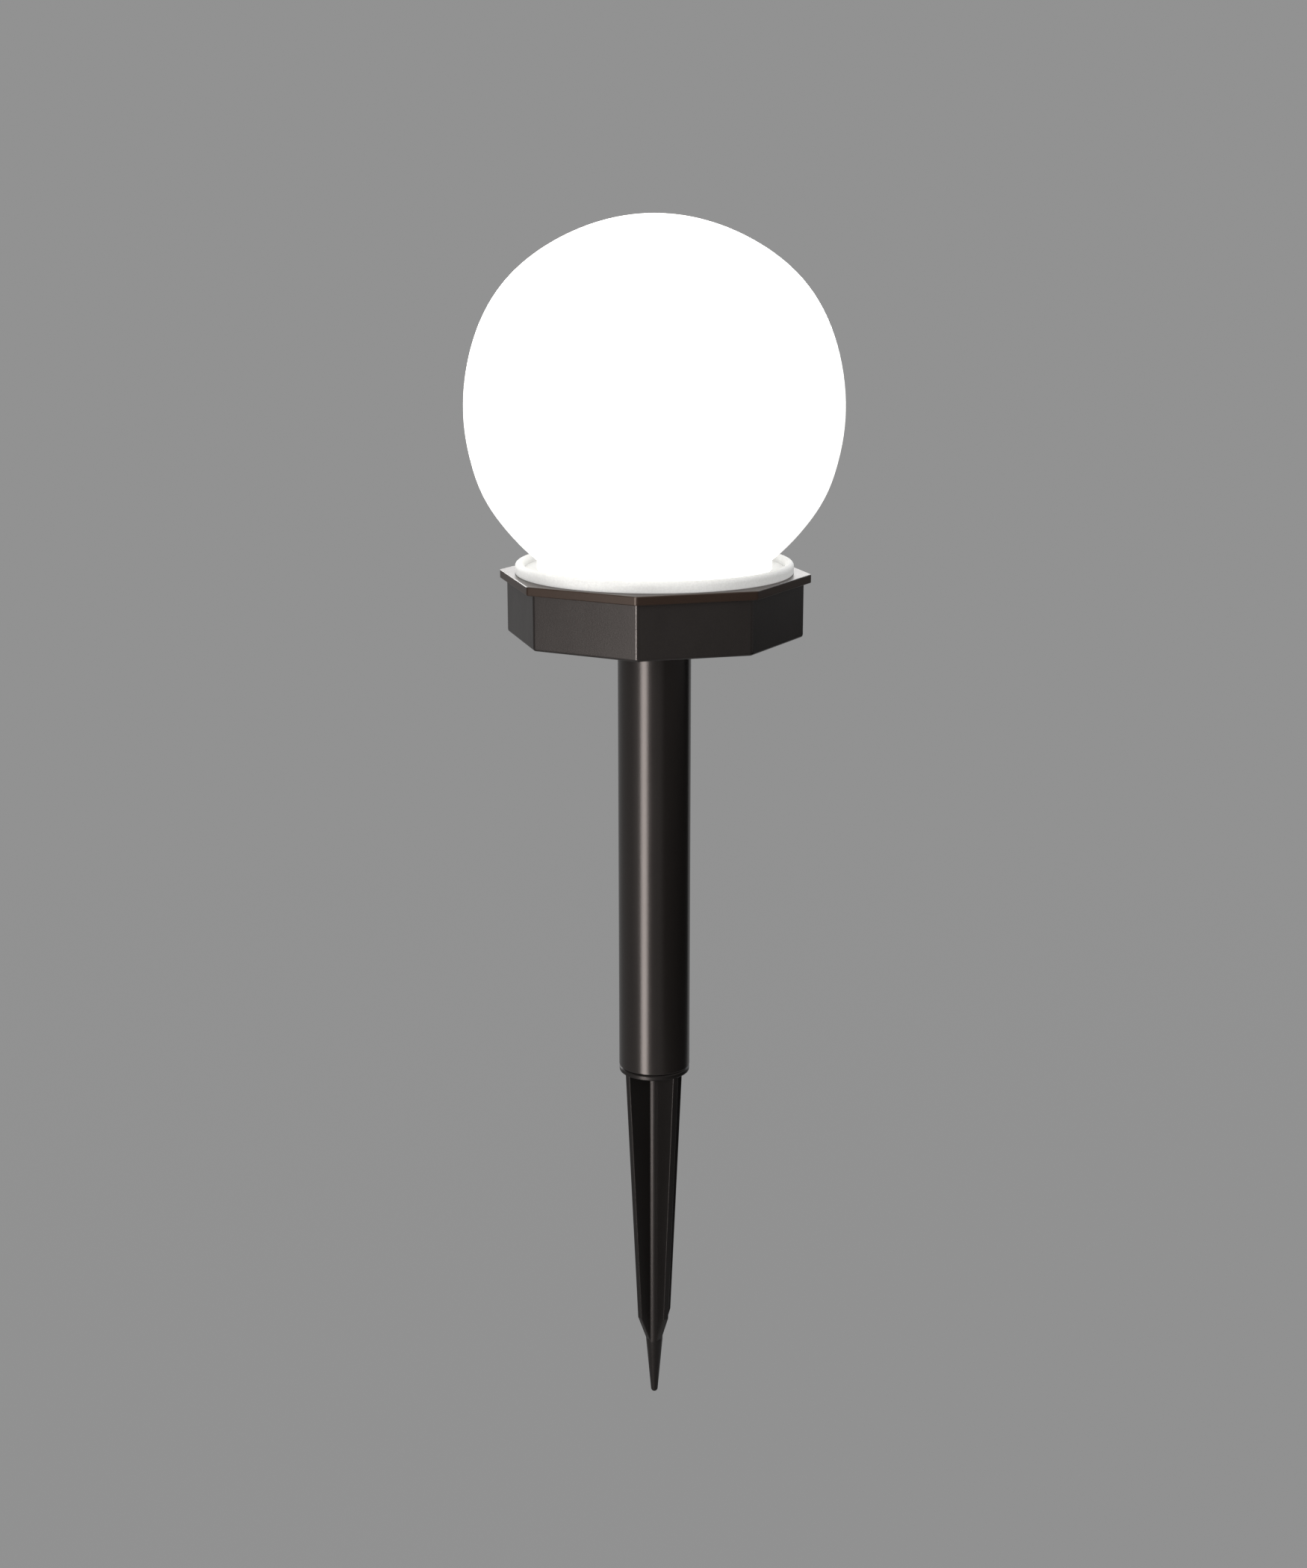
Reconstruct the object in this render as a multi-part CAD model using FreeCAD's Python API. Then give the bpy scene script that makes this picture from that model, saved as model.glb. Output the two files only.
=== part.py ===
import FreeCAD, Part

import math
import os

from FreeCAD import Vector

# Garden globe light on a ground spike. All sizes are in millimetres.
# +Z is up. The origin is on the axis at the ground line, the underside of the spike's collar.
# One corner of the octagonal housing points along -Y.

# Clearances
REST_GAP = 0.3            # between a piece that lifts off and the stop that it rests on
SLIP_FIT = 0.08           # radial clearance of a push fit that slides
SCREWED_GAP = 0.2         # around pieces that are screwed or laid together
THREAD_GAP = 0.05         # radial clearance of a screw in its pilot hole

# Spike
SPIKE_LENGTH = 121.5      # ground line to tip
COLLAR_HEIGHT = 1.7
COLLAR_SETBACK = 0.1      # collar inside the pole's outer radius
COLLAR_EDGE = 0.35
FIN_THICKNESS = 2.2
FIN_SETBACK = 0.2         # fin's top corner inside the collar's edge
FIN_KNEE_REACH = 6.5      # from the axis to the fin's edge at the knee
FIN_KNEE_DEPTH = 91.2
FIN_END_DEPTH = 101.1     # where the fins run out in the core
FIN_END_ROOT = 0.3        # how far the fins' ends reach into the core
FIN_EDGE = 0.3
CORE_RADIUS = 2.9
TIP_RADIUS = 1.2

# Pole
POLE_RADIUS = 11.9
POLE_WALL = 1.5
POLE_LENGTH = 147.2
POLE_EDGE = 0.35
SPIGOT_LENGTH = 20.0
SPIGOT_WALL = 1.6
SPIGOT_LEAD_IN = 0.8
KEY_WIDTH = 2.4
KEY_HEIGHT = 0.6          # how far the key stands out of the spigot
KEY_GAP = 0.12            # beside and above the key

# Globe
GLOBE_RADIUS = 60.0
GLOBE_WALL = 1.8
NECK_RADIUS = 37.6
NECK_LENGTH = 3.0         # foot of the neck to the globe's outside
NECK_LEAD_IN = 0.5
SHOULDER_SWELL = 1.15     # how far the soft shoulder stands out of a true sphere
SHOULDER_ANGLE = 38.0     # above the globe's middle, in degrees
SHOULDER_SPREAD = 20.0
CHEEK_SWELL = 0.4         # the same for the smaller swelling below the middle
CHEEK_ANGLE = -26.0
CHEEK_SPREAD = 8.5
GLOBE_CURVE_POINTS = 21

# Dish that the globe's neck stands in
RIM_THICKNESS = 2.75
RIM_HEIGHT = 3.6
RIM_FOOT_EDGE = 0.4
GUTTER_WIDTH = 4.25       # between the neck and the rim
DISH_FLOOR = 1.2
HUB_HEIGHT = 7.0
HUB_WALL = 1.6
HUB_LEAD_IN = 0.6
DECK_THICKNESS = 2.6
SEAL_HEIGHT = 3.2         # middle of the seal above the lid
SEAL_WIRE_RADIUS = 0.7
SEAL_GROOVE_WIDTH = 1.6
SEAL_PROUD = 0.04         # how far the seal stands out of the hub
DISH_BOSS_RADIUS = 2.8

# Solar panel and lamps on the hub's deck
PANEL_MARGIN = 3.0        # panel's corner inside the hub's outside
PANEL_POCKET = 1.5
PANEL_BACKING = 1.0
CELL_COUNT = 4
CELL_THICKNESS = 0.25
CELL_SPACE = 0.8
PANEL_COVER = 0.6
LEAD_HOLE_RADIUS = 3.0
LAMP_RADIUS = 2.5
LAMP_FLANGE_RADIUS = 2.9
LAMP_FLANGE_HEIGHT = 1.0
LAMP_HEIGHT = 8.6
LAMP_BOARD_THICKNESS = 1.2
LAMP_BOARD_DROP = 1.1     # below the deck
LAMP_BOARD_MARGIN = 1.6   # inside the lamps' flanges
LAMP_BOARD_GAP = 0.8      # between the board and the hub
LAMP_BOARD_BOSS_RADIUS = 2.2
LAMP_BOARD_SCREW_TURN = 22.5   # direction halfway between a lamp and a dish boss, in degrees

# Housing
LID_MARGIN = 1.87         # lid's flat side outside the dish's rim
LID_THICKNESS = 2.8
LID_OVERHANG = 2.12
LID_CORNER = 1.5
LID_EDGE = 0.35
SKIRT_DEPTH = 3.0
SKIRT_THICKNESS = 1.4
LID_BOSS_DEPTH = 4.1
LID_LEDGE = 1.2           # between the lid's opening and the dish's bosses
TUB_HEIGHT = 17.6
TUB_WALL = 2.0
TUB_FLOOR = 1.6
TUB_CORNER = 1.5
TUB_FOOT_EDGE = 1.0
TUB_INNER_CORNER = 0.6
GASKET_WIDTH = 1.0
GASKET_DEPTH = 0.8
PILLAR_RADIUS = 3.4
PILLAR_WELL_RADIUS = 2.65
PILLAR_WEB = 1.8
PILLAR_INSET = 3.3        # pillar's middle inside the tub's inner flat sides

# Screws
SCREW_RADIUS = 1.3
SCREW_HEAD_RADIUS = 2.4
SCREW_HEAD_HEIGHT = 1.4
SMALL_SCREW_RADIUS = 0.9
SMALL_HEAD_RADIUS = 1.6
SMALL_HEAD_HEIGHT = 0.9
SMALL_SCREW_BITE = 2.6
DISH_SCREW_BITE = 3.4
CROSS_SLOT_SHARE = 0.62   # slot's length as a share of the head's width
CROSS_SLOT_WIDTH = 0.6
CROSS_SLOT_DEPTH_SHARE = 0.6
HEAD_RIM_SHARE = 0.25     # upright rim of a head as a share of its height
SCREW_POINT_SHARE = 0.35  # blunt end as a share of the shank's radius

# Slide switch under the floor's plinth
SWITCH_TRAVEL = 3.0
SWITCH_KNOB = 3.0
SWITCH_KNOB_PROUD = 0.6
SWITCH_KNOB_EDGE = 0.3
SWITCH_GROOVE = 0.4       # width and depth of the knob's grip grooves
SWITCH_GROOVE_SPACING = 0.7
SWITCH_SHOE_LENGTH = 5.0
SWITCH_SHOE_HEIGHT = 1.8
SWITCH_CASE_WIDTH = 6.0
SWITCH_CASE_HEIGHT = 4.4
SWITCH_CASE_WALL = 0.5
SWITCH_EAR_LENGTH = 4.0
SWITCH_EAR_THICKNESS = 0.6
SWITCH_BASE_THICKNESS = 1.0
SWITCH_PIN_LENGTH = 2.6
SWITCH_PIN_SPACING = 3.0
SWITCH_PIN_WIDTH = 1.2
SWITCH_PIN_THICKNESS = 0.5
SWITCH_CLEAR = 0.3        # around the knob and shoe
PLINTH_HEIGHT = 1.6
PLINTH_MARGIN = 0.6
RECESS_DEPTH = 0.8
RECESS_MARGIN = 2.4
SWITCH_PILLAR_SPACE = 1.2

# Control board
BOARD_LENGTH = 36.0
BOARD_DEPTH = 16.0
BOARD_THICKNESS = 1.2
STANDOFF_HEIGHT = 4.0
STANDOFF_RADIUS = 2.2
BOARD_SPACE = 1.6         # between the board and the switch
BOARD_SCREW_INSET = 3.0
CHIP_LENGTH = 5.0
CHIP_WIDTH = 4.0
CHIP_HEIGHT = 1.6
COIL_RADIUS = 2.2
COIL_LENGTH = 5.5
CAPACITOR_RADIUS = 2.0
CAPACITOR_HEIGHT = 5.0

# Battery, AAA size, and its holder
BATTERY_RADIUS = 5.25
BATTERY_LENGTH = 44.5
BATTERY_NUB_RADIUS = 1.9
BATTERY_NUB_LENGTH = 1.0
BATTERY_EDGE = 0.6
BATTERY_Y = 14.0
HOLDER_WALL = 1.2
HOLDER_END_WALL = 1.6
HOLDER_FLOOR = 1.0
HOLDER_HEIGHT = 8.5
CONTACT_SPACE = 2.3       # between the battery's end and the holder's end wall
CONTACT_THICKNESS = 0.4
CONTACT_WIDTH = 5.0
CONTACT_RISE = 2.4        # solder tab above the holder
CONTACT_BOW_RADIUS = 4.0
CONTACT_FOOT = 3.6        # plate's foot below the battery's middle
TAPE_THICKNESS = 0.8

# Leads
LEAD_RADIUS = 0.55
LEAD_SPACING = 2.6        # red lead to black lead
LEAD_BEND_SHARE = 0.45    # part of the shorter run that a bend takes up
LEAD_WALL_SPACE = 0.4     # between a lead and the edge that it passes
PAD_INSET = 1.5           # solder pads inside the board's edge
LAMP_PAD_INSET = 3.9
BATTERY_PAD_INSET = 2.0
SWITCH_PAD_OFFSET = 2.4   # outside the switch's outer pins
PANEL_LEAD_Y = 1.0
LID_LEAD_TURN = 3.0       # height above the pillars where leads from the lid turn
PANEL_LEAD_DROP = 1.0
SWITCH_LEAD_RISE = 2.2
SWITCH_LEAD_DROP = 0.8
SOLDER_OVERLAP = 0.8      # of a battery lead and its contact's tab
BATTERY_LEAD_RISE = 1.8
BATTERY_LEAD_DROP = 1.2

# Places that follow from the sizes above
ORIGIN = Vector(0, 0, 0)
UP = Vector(0, 0, 1)
HALF_TURN = 180
OCTAGON_HALF_ANGLE = math.radians(22.5)
OCTAGON_SIDES = 8
ROUND_ERROR = 0.01
SETTLING_ROUNDS = 30      # steps in which the neck's angle settles

BORE_RADIUS = POLE_RADIUS - POLE_WALL
SPIGOT_RADIUS = BORE_RADIUS - SLIP_FIT
COLLAR_RADIUS = POLE_RADIUS - COLLAR_SETBACK
FIN_TOP_REACH = COLLAR_RADIUS - FIN_SETBACK
FIN_END_REACH = CORE_RADIUS - FIN_END_ROOT
POLE_LOW = COLLAR_HEIGHT + REST_GAP
POLE_HIGH = POLE_LOW + POLE_LENGTH

NECK_BORE = NECK_RADIUS - GLOBE_WALL
HUB_RADIUS = NECK_BORE - SLIP_FIT
HUB_INSIDE = HUB_RADIUS - HUB_WALL
RIM_RADIUS = NECK_RADIUS + GUTTER_WIDTH + RIM_THICKNESS

LID_APOTHEM = RIM_RADIUS + LID_MARGIN
TUB_APOTHEM = LID_APOTHEM - LID_OVERHANG
TUB_INSIDE = TUB_APOTHEM - TUB_WALL
TUB_LOW = POLE_HIGH + REST_GAP
FLOOR_TOP = TUB_LOW + TUB_FLOOR
TUB_HIGH = TUB_LOW + TUB_HEIGHT
LID_TOP = TUB_HIGH + LID_THICKNESS
PILLAR_TOP = TUB_HIGH - LID_BOSS_DEPTH
PILLAR_WEB_LOW = PILLAR_TOP - PILLAR_WEB
PILLAR_PLACE = TUB_INSIDE - PILLAR_INSET

HUB_TOP = LID_TOP + HUB_HEIGHT
DECK_LOW = HUB_TOP - DECK_THICKNESS
DISH_FLOOR_TOP = LID_TOP + DISH_FLOOR
NECK_FOOT = DISH_FLOOR_TOP + REST_GAP
DISH_BOSS_PLACE = HUB_INSIDE - DISH_BOSS_RADIUS - SCREWED_GAP
LID_OPENING = DISH_BOSS_PLACE - DISH_BOSS_RADIUS - LID_LEDGE

POCKET_SIDE = math.sqrt(2) * (HUB_RADIUS - PANEL_MARGIN)
PANEL_SIDE = POCKET_SIDE - 2 * SCREWED_GAP
POCKET_LOW = HUB_TOP - PANEL_POCKET
LAMP_PLACE = (HUB_INSIDE + POCKET_SIDE / 2) / 2
LAMP_BOARD_TOP = DECK_LOW - LAMP_BOARD_DROP
LAMP_BOARD_LOW = LAMP_BOARD_TOP - LAMP_BOARD_THICKNESS
LAMP_BOARD_OUTSIDE = HUB_INSIDE - LAMP_BOARD_GAP
LAMP_BOARD_INSIDE = LAMP_PLACE - LAMP_FLANGE_RADIUS - LAMP_BOARD_MARGIN

SWITCH_Y = -(PILLAR_PLACE - PILLAR_RADIUS - SWITCH_PILLAR_SPACE - SWITCH_CASE_WIDTH / 2)
SWITCH_SLOT_LENGTH = SWITCH_KNOB + SWITCH_TRAVEL + 2 * SWITCH_CLEAR
SWITCH_CAVITY_LENGTH = SWITCH_SHOE_LENGTH + SWITCH_TRAVEL + 2 * SWITCH_CLEAR
SWITCH_CASE_LENGTH = SWITCH_CAVITY_LENGTH + 2 * SWITCH_CASE_WALL
SWITCH_PLATE_LENGTH = SWITCH_CASE_LENGTH + 2 * SWITCH_EAR_LENGTH
SWITCH_SCREW_PLACE = (SWITCH_CASE_LENGTH + SWITCH_EAR_LENGTH) / 2
SWITCH_LOW = FLOOR_TOP + PLINTH_HEIGHT
SWITCH_CAVITY_LOW = SWITCH_LOW + SWITCH_EAR_THICKNESS
SWITCH_CASE_TOP = SWITCH_LOW + SWITCH_CASE_HEIGHT
SWITCH_BASE_LOW = SWITCH_CASE_TOP - SWITCH_BASE_THICKNESS
SWITCH_PIN_TOP = SWITCH_CASE_TOP + SWITCH_PIN_LENGTH

BOARD_Y = SWITCH_Y + SWITCH_CASE_WIDTH / 2 + BOARD_SPACE + BOARD_DEPTH / 2
BOARD_LOW = FLOOR_TOP + STANDOFF_HEIGHT
BOARD_TOP = BOARD_LOW + BOARD_THICKNESS
BOARD_SCREW_PLACE = BOARD_LENGTH / 2 - BOARD_SCREW_INSET

HOLDER_LOW = FLOOR_TOP + TAPE_THICKNESS
TROUGH_RADIUS = BATTERY_RADIUS + SCREWED_GAP
HOLDER_WIDTH = 2 * (TROUGH_RADIUS + HOLDER_WALL)
HOLDER_CAVITY = BATTERY_LENGTH + 2 * CONTACT_SPACE
HOLDER_LENGTH = HOLDER_CAVITY + 2 * HOLDER_END_WALL
BATTERY_Z = HOLDER_LOW + HOLDER_FLOOR + TROUGH_RADIUS
HOLDER_TOP = HOLDER_LOW + HOLDER_HEIGHT
CONTACT_TOP = HOLDER_TOP + CONTACT_RISE


# Helpers

def around(radius, degrees, height=0.0):
    """Point on a circle about the axis."""
    angle = math.radians(degrees)
    return Vector(radius * math.cos(angle), radius * math.sin(angle), height)


def line(start, end):
    return Part.LineSegment(start, end).toShape()


def arc(start, middle, end):
    return Part.Arc(start, middle, end).toShape()


def lathe(outline):
    """Solid turned about Z from (radius, height) points or ready edges in the XZ plane."""
    edges = []
    last = None
    first = None
    for item in outline:
        if isinstance(item, Part.Edge):
            edges.append(item)
            last = item.Vertexes[-1].Point
            continue
        point = Vector(item[0], 0, item[1])
        if first is None:
            first = point
        if last is not None and last.distanceToPoint(point) > ROUND_ERROR:
            edges.append(line(last, point))
        last = point
    edges.append(line(last, first))
    return Part.Face(Part.Wire(edges)).revolve(ORIGIN, UP, 360)


def flat_arc(start, middle, end):
    """Arc in the XZ plane through three (radius, height) points."""
    points = [Vector(radius, 0, height) for radius, height in (start, middle, end)]
    return arc(*points)


def rod(radius, low, high, x=0.0, y=0.0):
    return Part.makeCylinder(radius, high - low, Vector(x, y, low))


def block(length, width, low, high, x=0.0, y=0.0):
    """Upright block centred on (x, y)."""
    corner = Vector(x - length / 2, y - width / 2, low)
    return Part.makeBox(length, width, high - low, corner)


def octagon(apothem, corner, low, high):
    """Upright octagonal prism with rounded corners, one corner towards -Y."""
    middle = apothem / math.cos(OCTAGON_HALF_ANGLE) - corner / math.cos(OCTAGON_HALF_ANGLE)
    half_step = HALF_TURN / OCTAGON_SIDES
    rounds = []
    for number in range(OCTAGON_SIDES):
        direction = -90 + number * 2 * half_step
        centre = around(middle, direction, low)
        start = centre + around(corner, direction - half_step)
        crown = centre + around(corner, direction)
        end = centre + around(corner, direction + half_step)
        rounds.append((start, crown, end))
    edges = []
    for number, points in enumerate(rounds):
        edges.append(arc(*points))
        edges.append(line(points[2], rounds[(number + 1) % OCTAGON_SIDES][0]))
    return Part.Face(Part.Wire(edges)).extrude(UP * (high - low))


def level_edges(shape, height, least_radius=0.0):
    """Edges that lie level at one height, outside a radius."""
    chosen = []
    for edge in shape.Edges:
        box = edge.BoundBox
        if abs(box.ZMin - height) > ROUND_ERROR or abs(box.ZMax - height) > ROUND_ERROR:
            continue
        point = edge.valueAt((edge.FirstParameter + edge.LastParameter) / 2)
        if math.hypot(point.x, point.y) > least_radius:
            chosen.append(edge)
    return chosen


def screw(radius, head_radius, head_height, length, place, pointing_up):
    """Cross-slot screw. Place is the middle of the head's bearing face."""
    rim = head_height * HEAD_RIM_SHARE
    rise = head_height - rim
    ball = (head_radius ** 2 + rise ** 2) / (2 * rise)
    half_angle = math.asin(head_radius / ball) / 2
    middle = (ball * math.sin(half_angle), ball * (1 - math.cos(half_angle)) - head_height)
    outline = [
        (0, -head_height),
        flat_arc((0, -head_height), middle, (head_radius, -rim)),
        (head_radius, 0),
        (radius, 0),
        (radius, length - radius),
        (radius * SCREW_POINT_SHARE, length),
        (0, length),
    ]
    shape = lathe(outline)
    slot_length = 2 * head_radius * CROSS_SLOT_SHARE
    slot_top = -head_height * (1 - CROSS_SLOT_DEPTH_SHARE)
    for size in ((slot_length, CROSS_SLOT_WIDTH), (CROSS_SLOT_WIDTH, slot_length)):
        shape = shape.cut(block(size[0], size[1], -2 * head_height, slot_top))
    if not pointing_up:
        shape.rotate(ORIGIN, Vector(1, 0, 0), HALF_TURN)
    shape.translate(place)
    return shape


def lead(points, radius=LEAD_RADIUS):
    """Wire that runs straight between points, with a tangent arc at each turn."""
    edges = []
    start = points[0]
    for before, corner, after in zip(points, points[1:], points[2:]):
        back = before - corner
        ahead = after - corner
        turn = HALF_TURN - math.degrees(back.getAngle(ahead))
        tangent = LEAD_BEND_SHARE * min(back.Length, ahead.Length)
        bend = tangent / math.tan(math.radians(turn) / 2)
        enter = corner + back.normalize() * tangent
        leave = corner + ahead.normalize() * tangent
        inward = (back + ahead).normalize()
        centre_distance = math.hypot(bend, tangent)
        middle = corner + inward * (centre_distance - bend)
        edges.append(line(start, enter))
        edges.append(arc(enter, middle, leave))
        start = leave
    edges.append(line(start, points[-1]))
    path = Part.Wire(edges)
    section = Part.Wire(Part.Circle(points[0], points[1] - points[0], radius).toShape())
    return path.makePipeShell([section], True, False)


def key_on(radius, low, high, gap=0.0):
    """Key along the back of a spigot, or with a gap the groove that it slides in."""
    inner = radius - KEY_HEIGHT
    outer = radius + KEY_HEIGHT + gap
    middle = (inner + outer) / 2
    return block(KEY_WIDTH + 2 * gap, outer - inner, low, high, y=middle)


# Spike

def fin_blade(direction):
    """Two opposite fins as one tapered blade, thickness across, edges eased."""
    depths = ((FIN_TOP_REACH, 0.0), (FIN_KNEE_REACH, -FIN_KNEE_DEPTH), (FIN_END_REACH, -FIN_END_DEPTH))
    right = [Vector(reach, -FIN_THICKNESS / 2, depth) for reach, depth in depths]
    left = [Vector(-point.x, point.y, point.z) for point in reversed(right)]
    corners = right + left
    edges = [line(corner, corners[(number + 1) % len(corners)]) for number, corner in enumerate(corners)]
    blade = Part.Face(Part.Wire(edges)).extrude(Vector(0, FIN_THICKNESS, 0))
    long_edges = []
    for edge in blade.Edges:
        across = edge.BoundBox.YLength > FIN_THICKNESS / 2
        level = edge.BoundBox.ZLength < ROUND_ERROR
        if not across and not level:
            long_edges.append(edge)
    blade = blade.makeFillet(FIN_EDGE, long_edges)
    blade.rotate(ORIGIN, UP, direction)
    return blade


def spike():
    """Collar, four fins on a round core with a blunt point, and the hollow spigot, in one piece."""
    cone_end = -SPIKE_LENGTH + TIP_RADIUS
    nose_side = TIP_RADIUS * math.sqrt(0.5)
    core = lathe([
        (0, COLLAR_HEIGHT / 2),
        (CORE_RADIUS, COLLAR_HEIGHT / 2),
        (CORE_RADIUS, -FIN_END_DEPTH),
        (TIP_RADIUS, cone_end),
        flat_arc((TIP_RADIUS, cone_end), (nose_side, cone_end - nose_side), (0, -SPIKE_LENGTH)),
    ])
    collar = rod(COLLAR_RADIUS, 0, COLLAR_HEIGHT)
    collar = collar.makeChamfer(COLLAR_EDGE, level_edges(collar, COLLAR_HEIGHT))
    collar = collar.makeFillet(COLLAR_EDGE, level_edges(collar, 0))
    top = COLLAR_HEIGHT + SPIGOT_LENGTH
    tube = lathe([
        (0, COLLAR_HEIGHT / 2),
        (SPIGOT_RADIUS, COLLAR_HEIGHT / 2),
        (SPIGOT_RADIUS, top - SPIGOT_LEAD_IN),
        (SPIGOT_RADIUS - SPIGOT_LEAD_IN, top),
        (SPIGOT_RADIUS - SPIGOT_WALL, top),
        (SPIGOT_RADIUS - SPIGOT_WALL, COLLAR_HEIGHT),
        (0, COLLAR_HEIGHT),
    ])
    key = key_on(SPIGOT_RADIUS, COLLAR_HEIGHT / 2, top - 2 * SPIGOT_LEAD_IN)
    whole = collar.fuse([core, tube, key, fin_blade(45), fin_blade(-45)])
    return whole.removeSplitter()


# Pole

def pole_tube():
    tube = rod(POLE_RADIUS, POLE_LOW, POLE_HIGH).cut(rod(BORE_RADIUS, POLE_LOW, POLE_HIGH))
    rims = level_edges(tube, POLE_LOW, BORE_RADIUS + ROUND_ERROR)
    rims += level_edges(tube, POLE_HIGH, BORE_RADIUS + ROUND_ERROR)
    tube = tube.makeFillet(POLE_EDGE, rims)
    return tube.cut(key_on(SPIGOT_RADIUS, POLE_LOW, POLE_HIGH, KEY_GAP))


# Globe

def globe_reach(angle):
    """Distance from the globe's middle to its outside, at an angle above the middle."""
    shoulder = SHOULDER_SWELL * math.exp(-((angle - SHOULDER_ANGLE) / SHOULDER_SPREAD) ** 2)
    cheek = CHEEK_SWELL * math.exp(-((angle - CHEEK_ANGLE) / CHEEK_SPREAD) ** 2)
    return GLOBE_RADIUS + shoulder + cheek


def neck_angle(radius, inset):
    """Angle at which the globe's skin, inset by a wall, has the neck's radius."""
    angle = 0.0
    for _ in range(SETTLING_ROUNDS):
        angle = -math.degrees(math.acos(radius / (globe_reach(angle) - inset)))
    return angle


def globe_middle():
    """Height of the globe's middle."""
    angle = neck_angle(NECK_RADIUS, 0.0)
    return NECK_FOOT + NECK_LENGTH - globe_reach(angle) * math.sin(math.radians(angle))


def globe_point(angle, inset):
    reach = globe_reach(angle) - inset
    radians = math.radians(angle)
    return Vector(reach * math.cos(radians), 0, globe_middle() + reach * math.sin(radians))


def globe_curve(radius, inset):
    """Smooth curve from the neck up to the crown, one half of an even arch."""
    low = neck_angle(radius, inset)
    step = (90 - low) / (GLOBE_CURVE_POINTS - 1)
    side = [globe_point(low + step * number, inset) for number in range(GLOBE_CURVE_POINTS)]
    side[-1].x = 0.0
    other_side = [Vector(-point.x, 0, point.z) for point in reversed(side[:-1])]
    arch = Part.BSplineCurve()
    arch.interpolate(side + other_side)
    crown = (arch.FirstParameter + arch.LastParameter) / 2
    return arch.toShape(arch.FirstParameter, crown)


def globe():
    """Blown shade: one wall all round, open at the foot of its straight neck."""
    outside = globe_curve(NECK_RADIUS, 0.0)
    inside = globe_curve(NECK_BORE, GLOBE_WALL)
    out_low, out_high = outside.Vertexes[0].Point, outside.Vertexes[-1].Point
    in_low, in_high = inside.Vertexes[0].Point, inside.Vertexes[-1].Point
    foot_outside = Vector(NECK_RADIUS, 0, NECK_FOOT)
    foot_inside = Vector(NECK_BORE + NECK_LEAD_IN, 0, NECK_FOOT)
    bore_start = Vector(NECK_BORE, 0, NECK_FOOT + NECK_LEAD_IN)
    edges = [
        line(foot_outside, out_low),
        outside,
        line(out_high, in_high),
        inside,
        line(in_low, bore_start),
        line(bore_start, foot_inside),
        line(foot_inside, foot_outside),
    ]
    return Part.Face(Part.Wire(Part.__sortEdges__(edges))).revolve(ORIGIN, UP, 360)


# Dish, seal, panel and lamps

def quarter_places(radius, first):
    """Four places a quarter turn apart."""
    return [around(radius, first + 90 * number) for number in range(4)]


def lamp_board_screw_places():
    """The two screws sit between a lamp and a dish boss."""
    return [around(LAMP_PLACE, LAMP_BOARD_SCREW_TURN + HALF_TURN * number) for number in range(2)]


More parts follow.
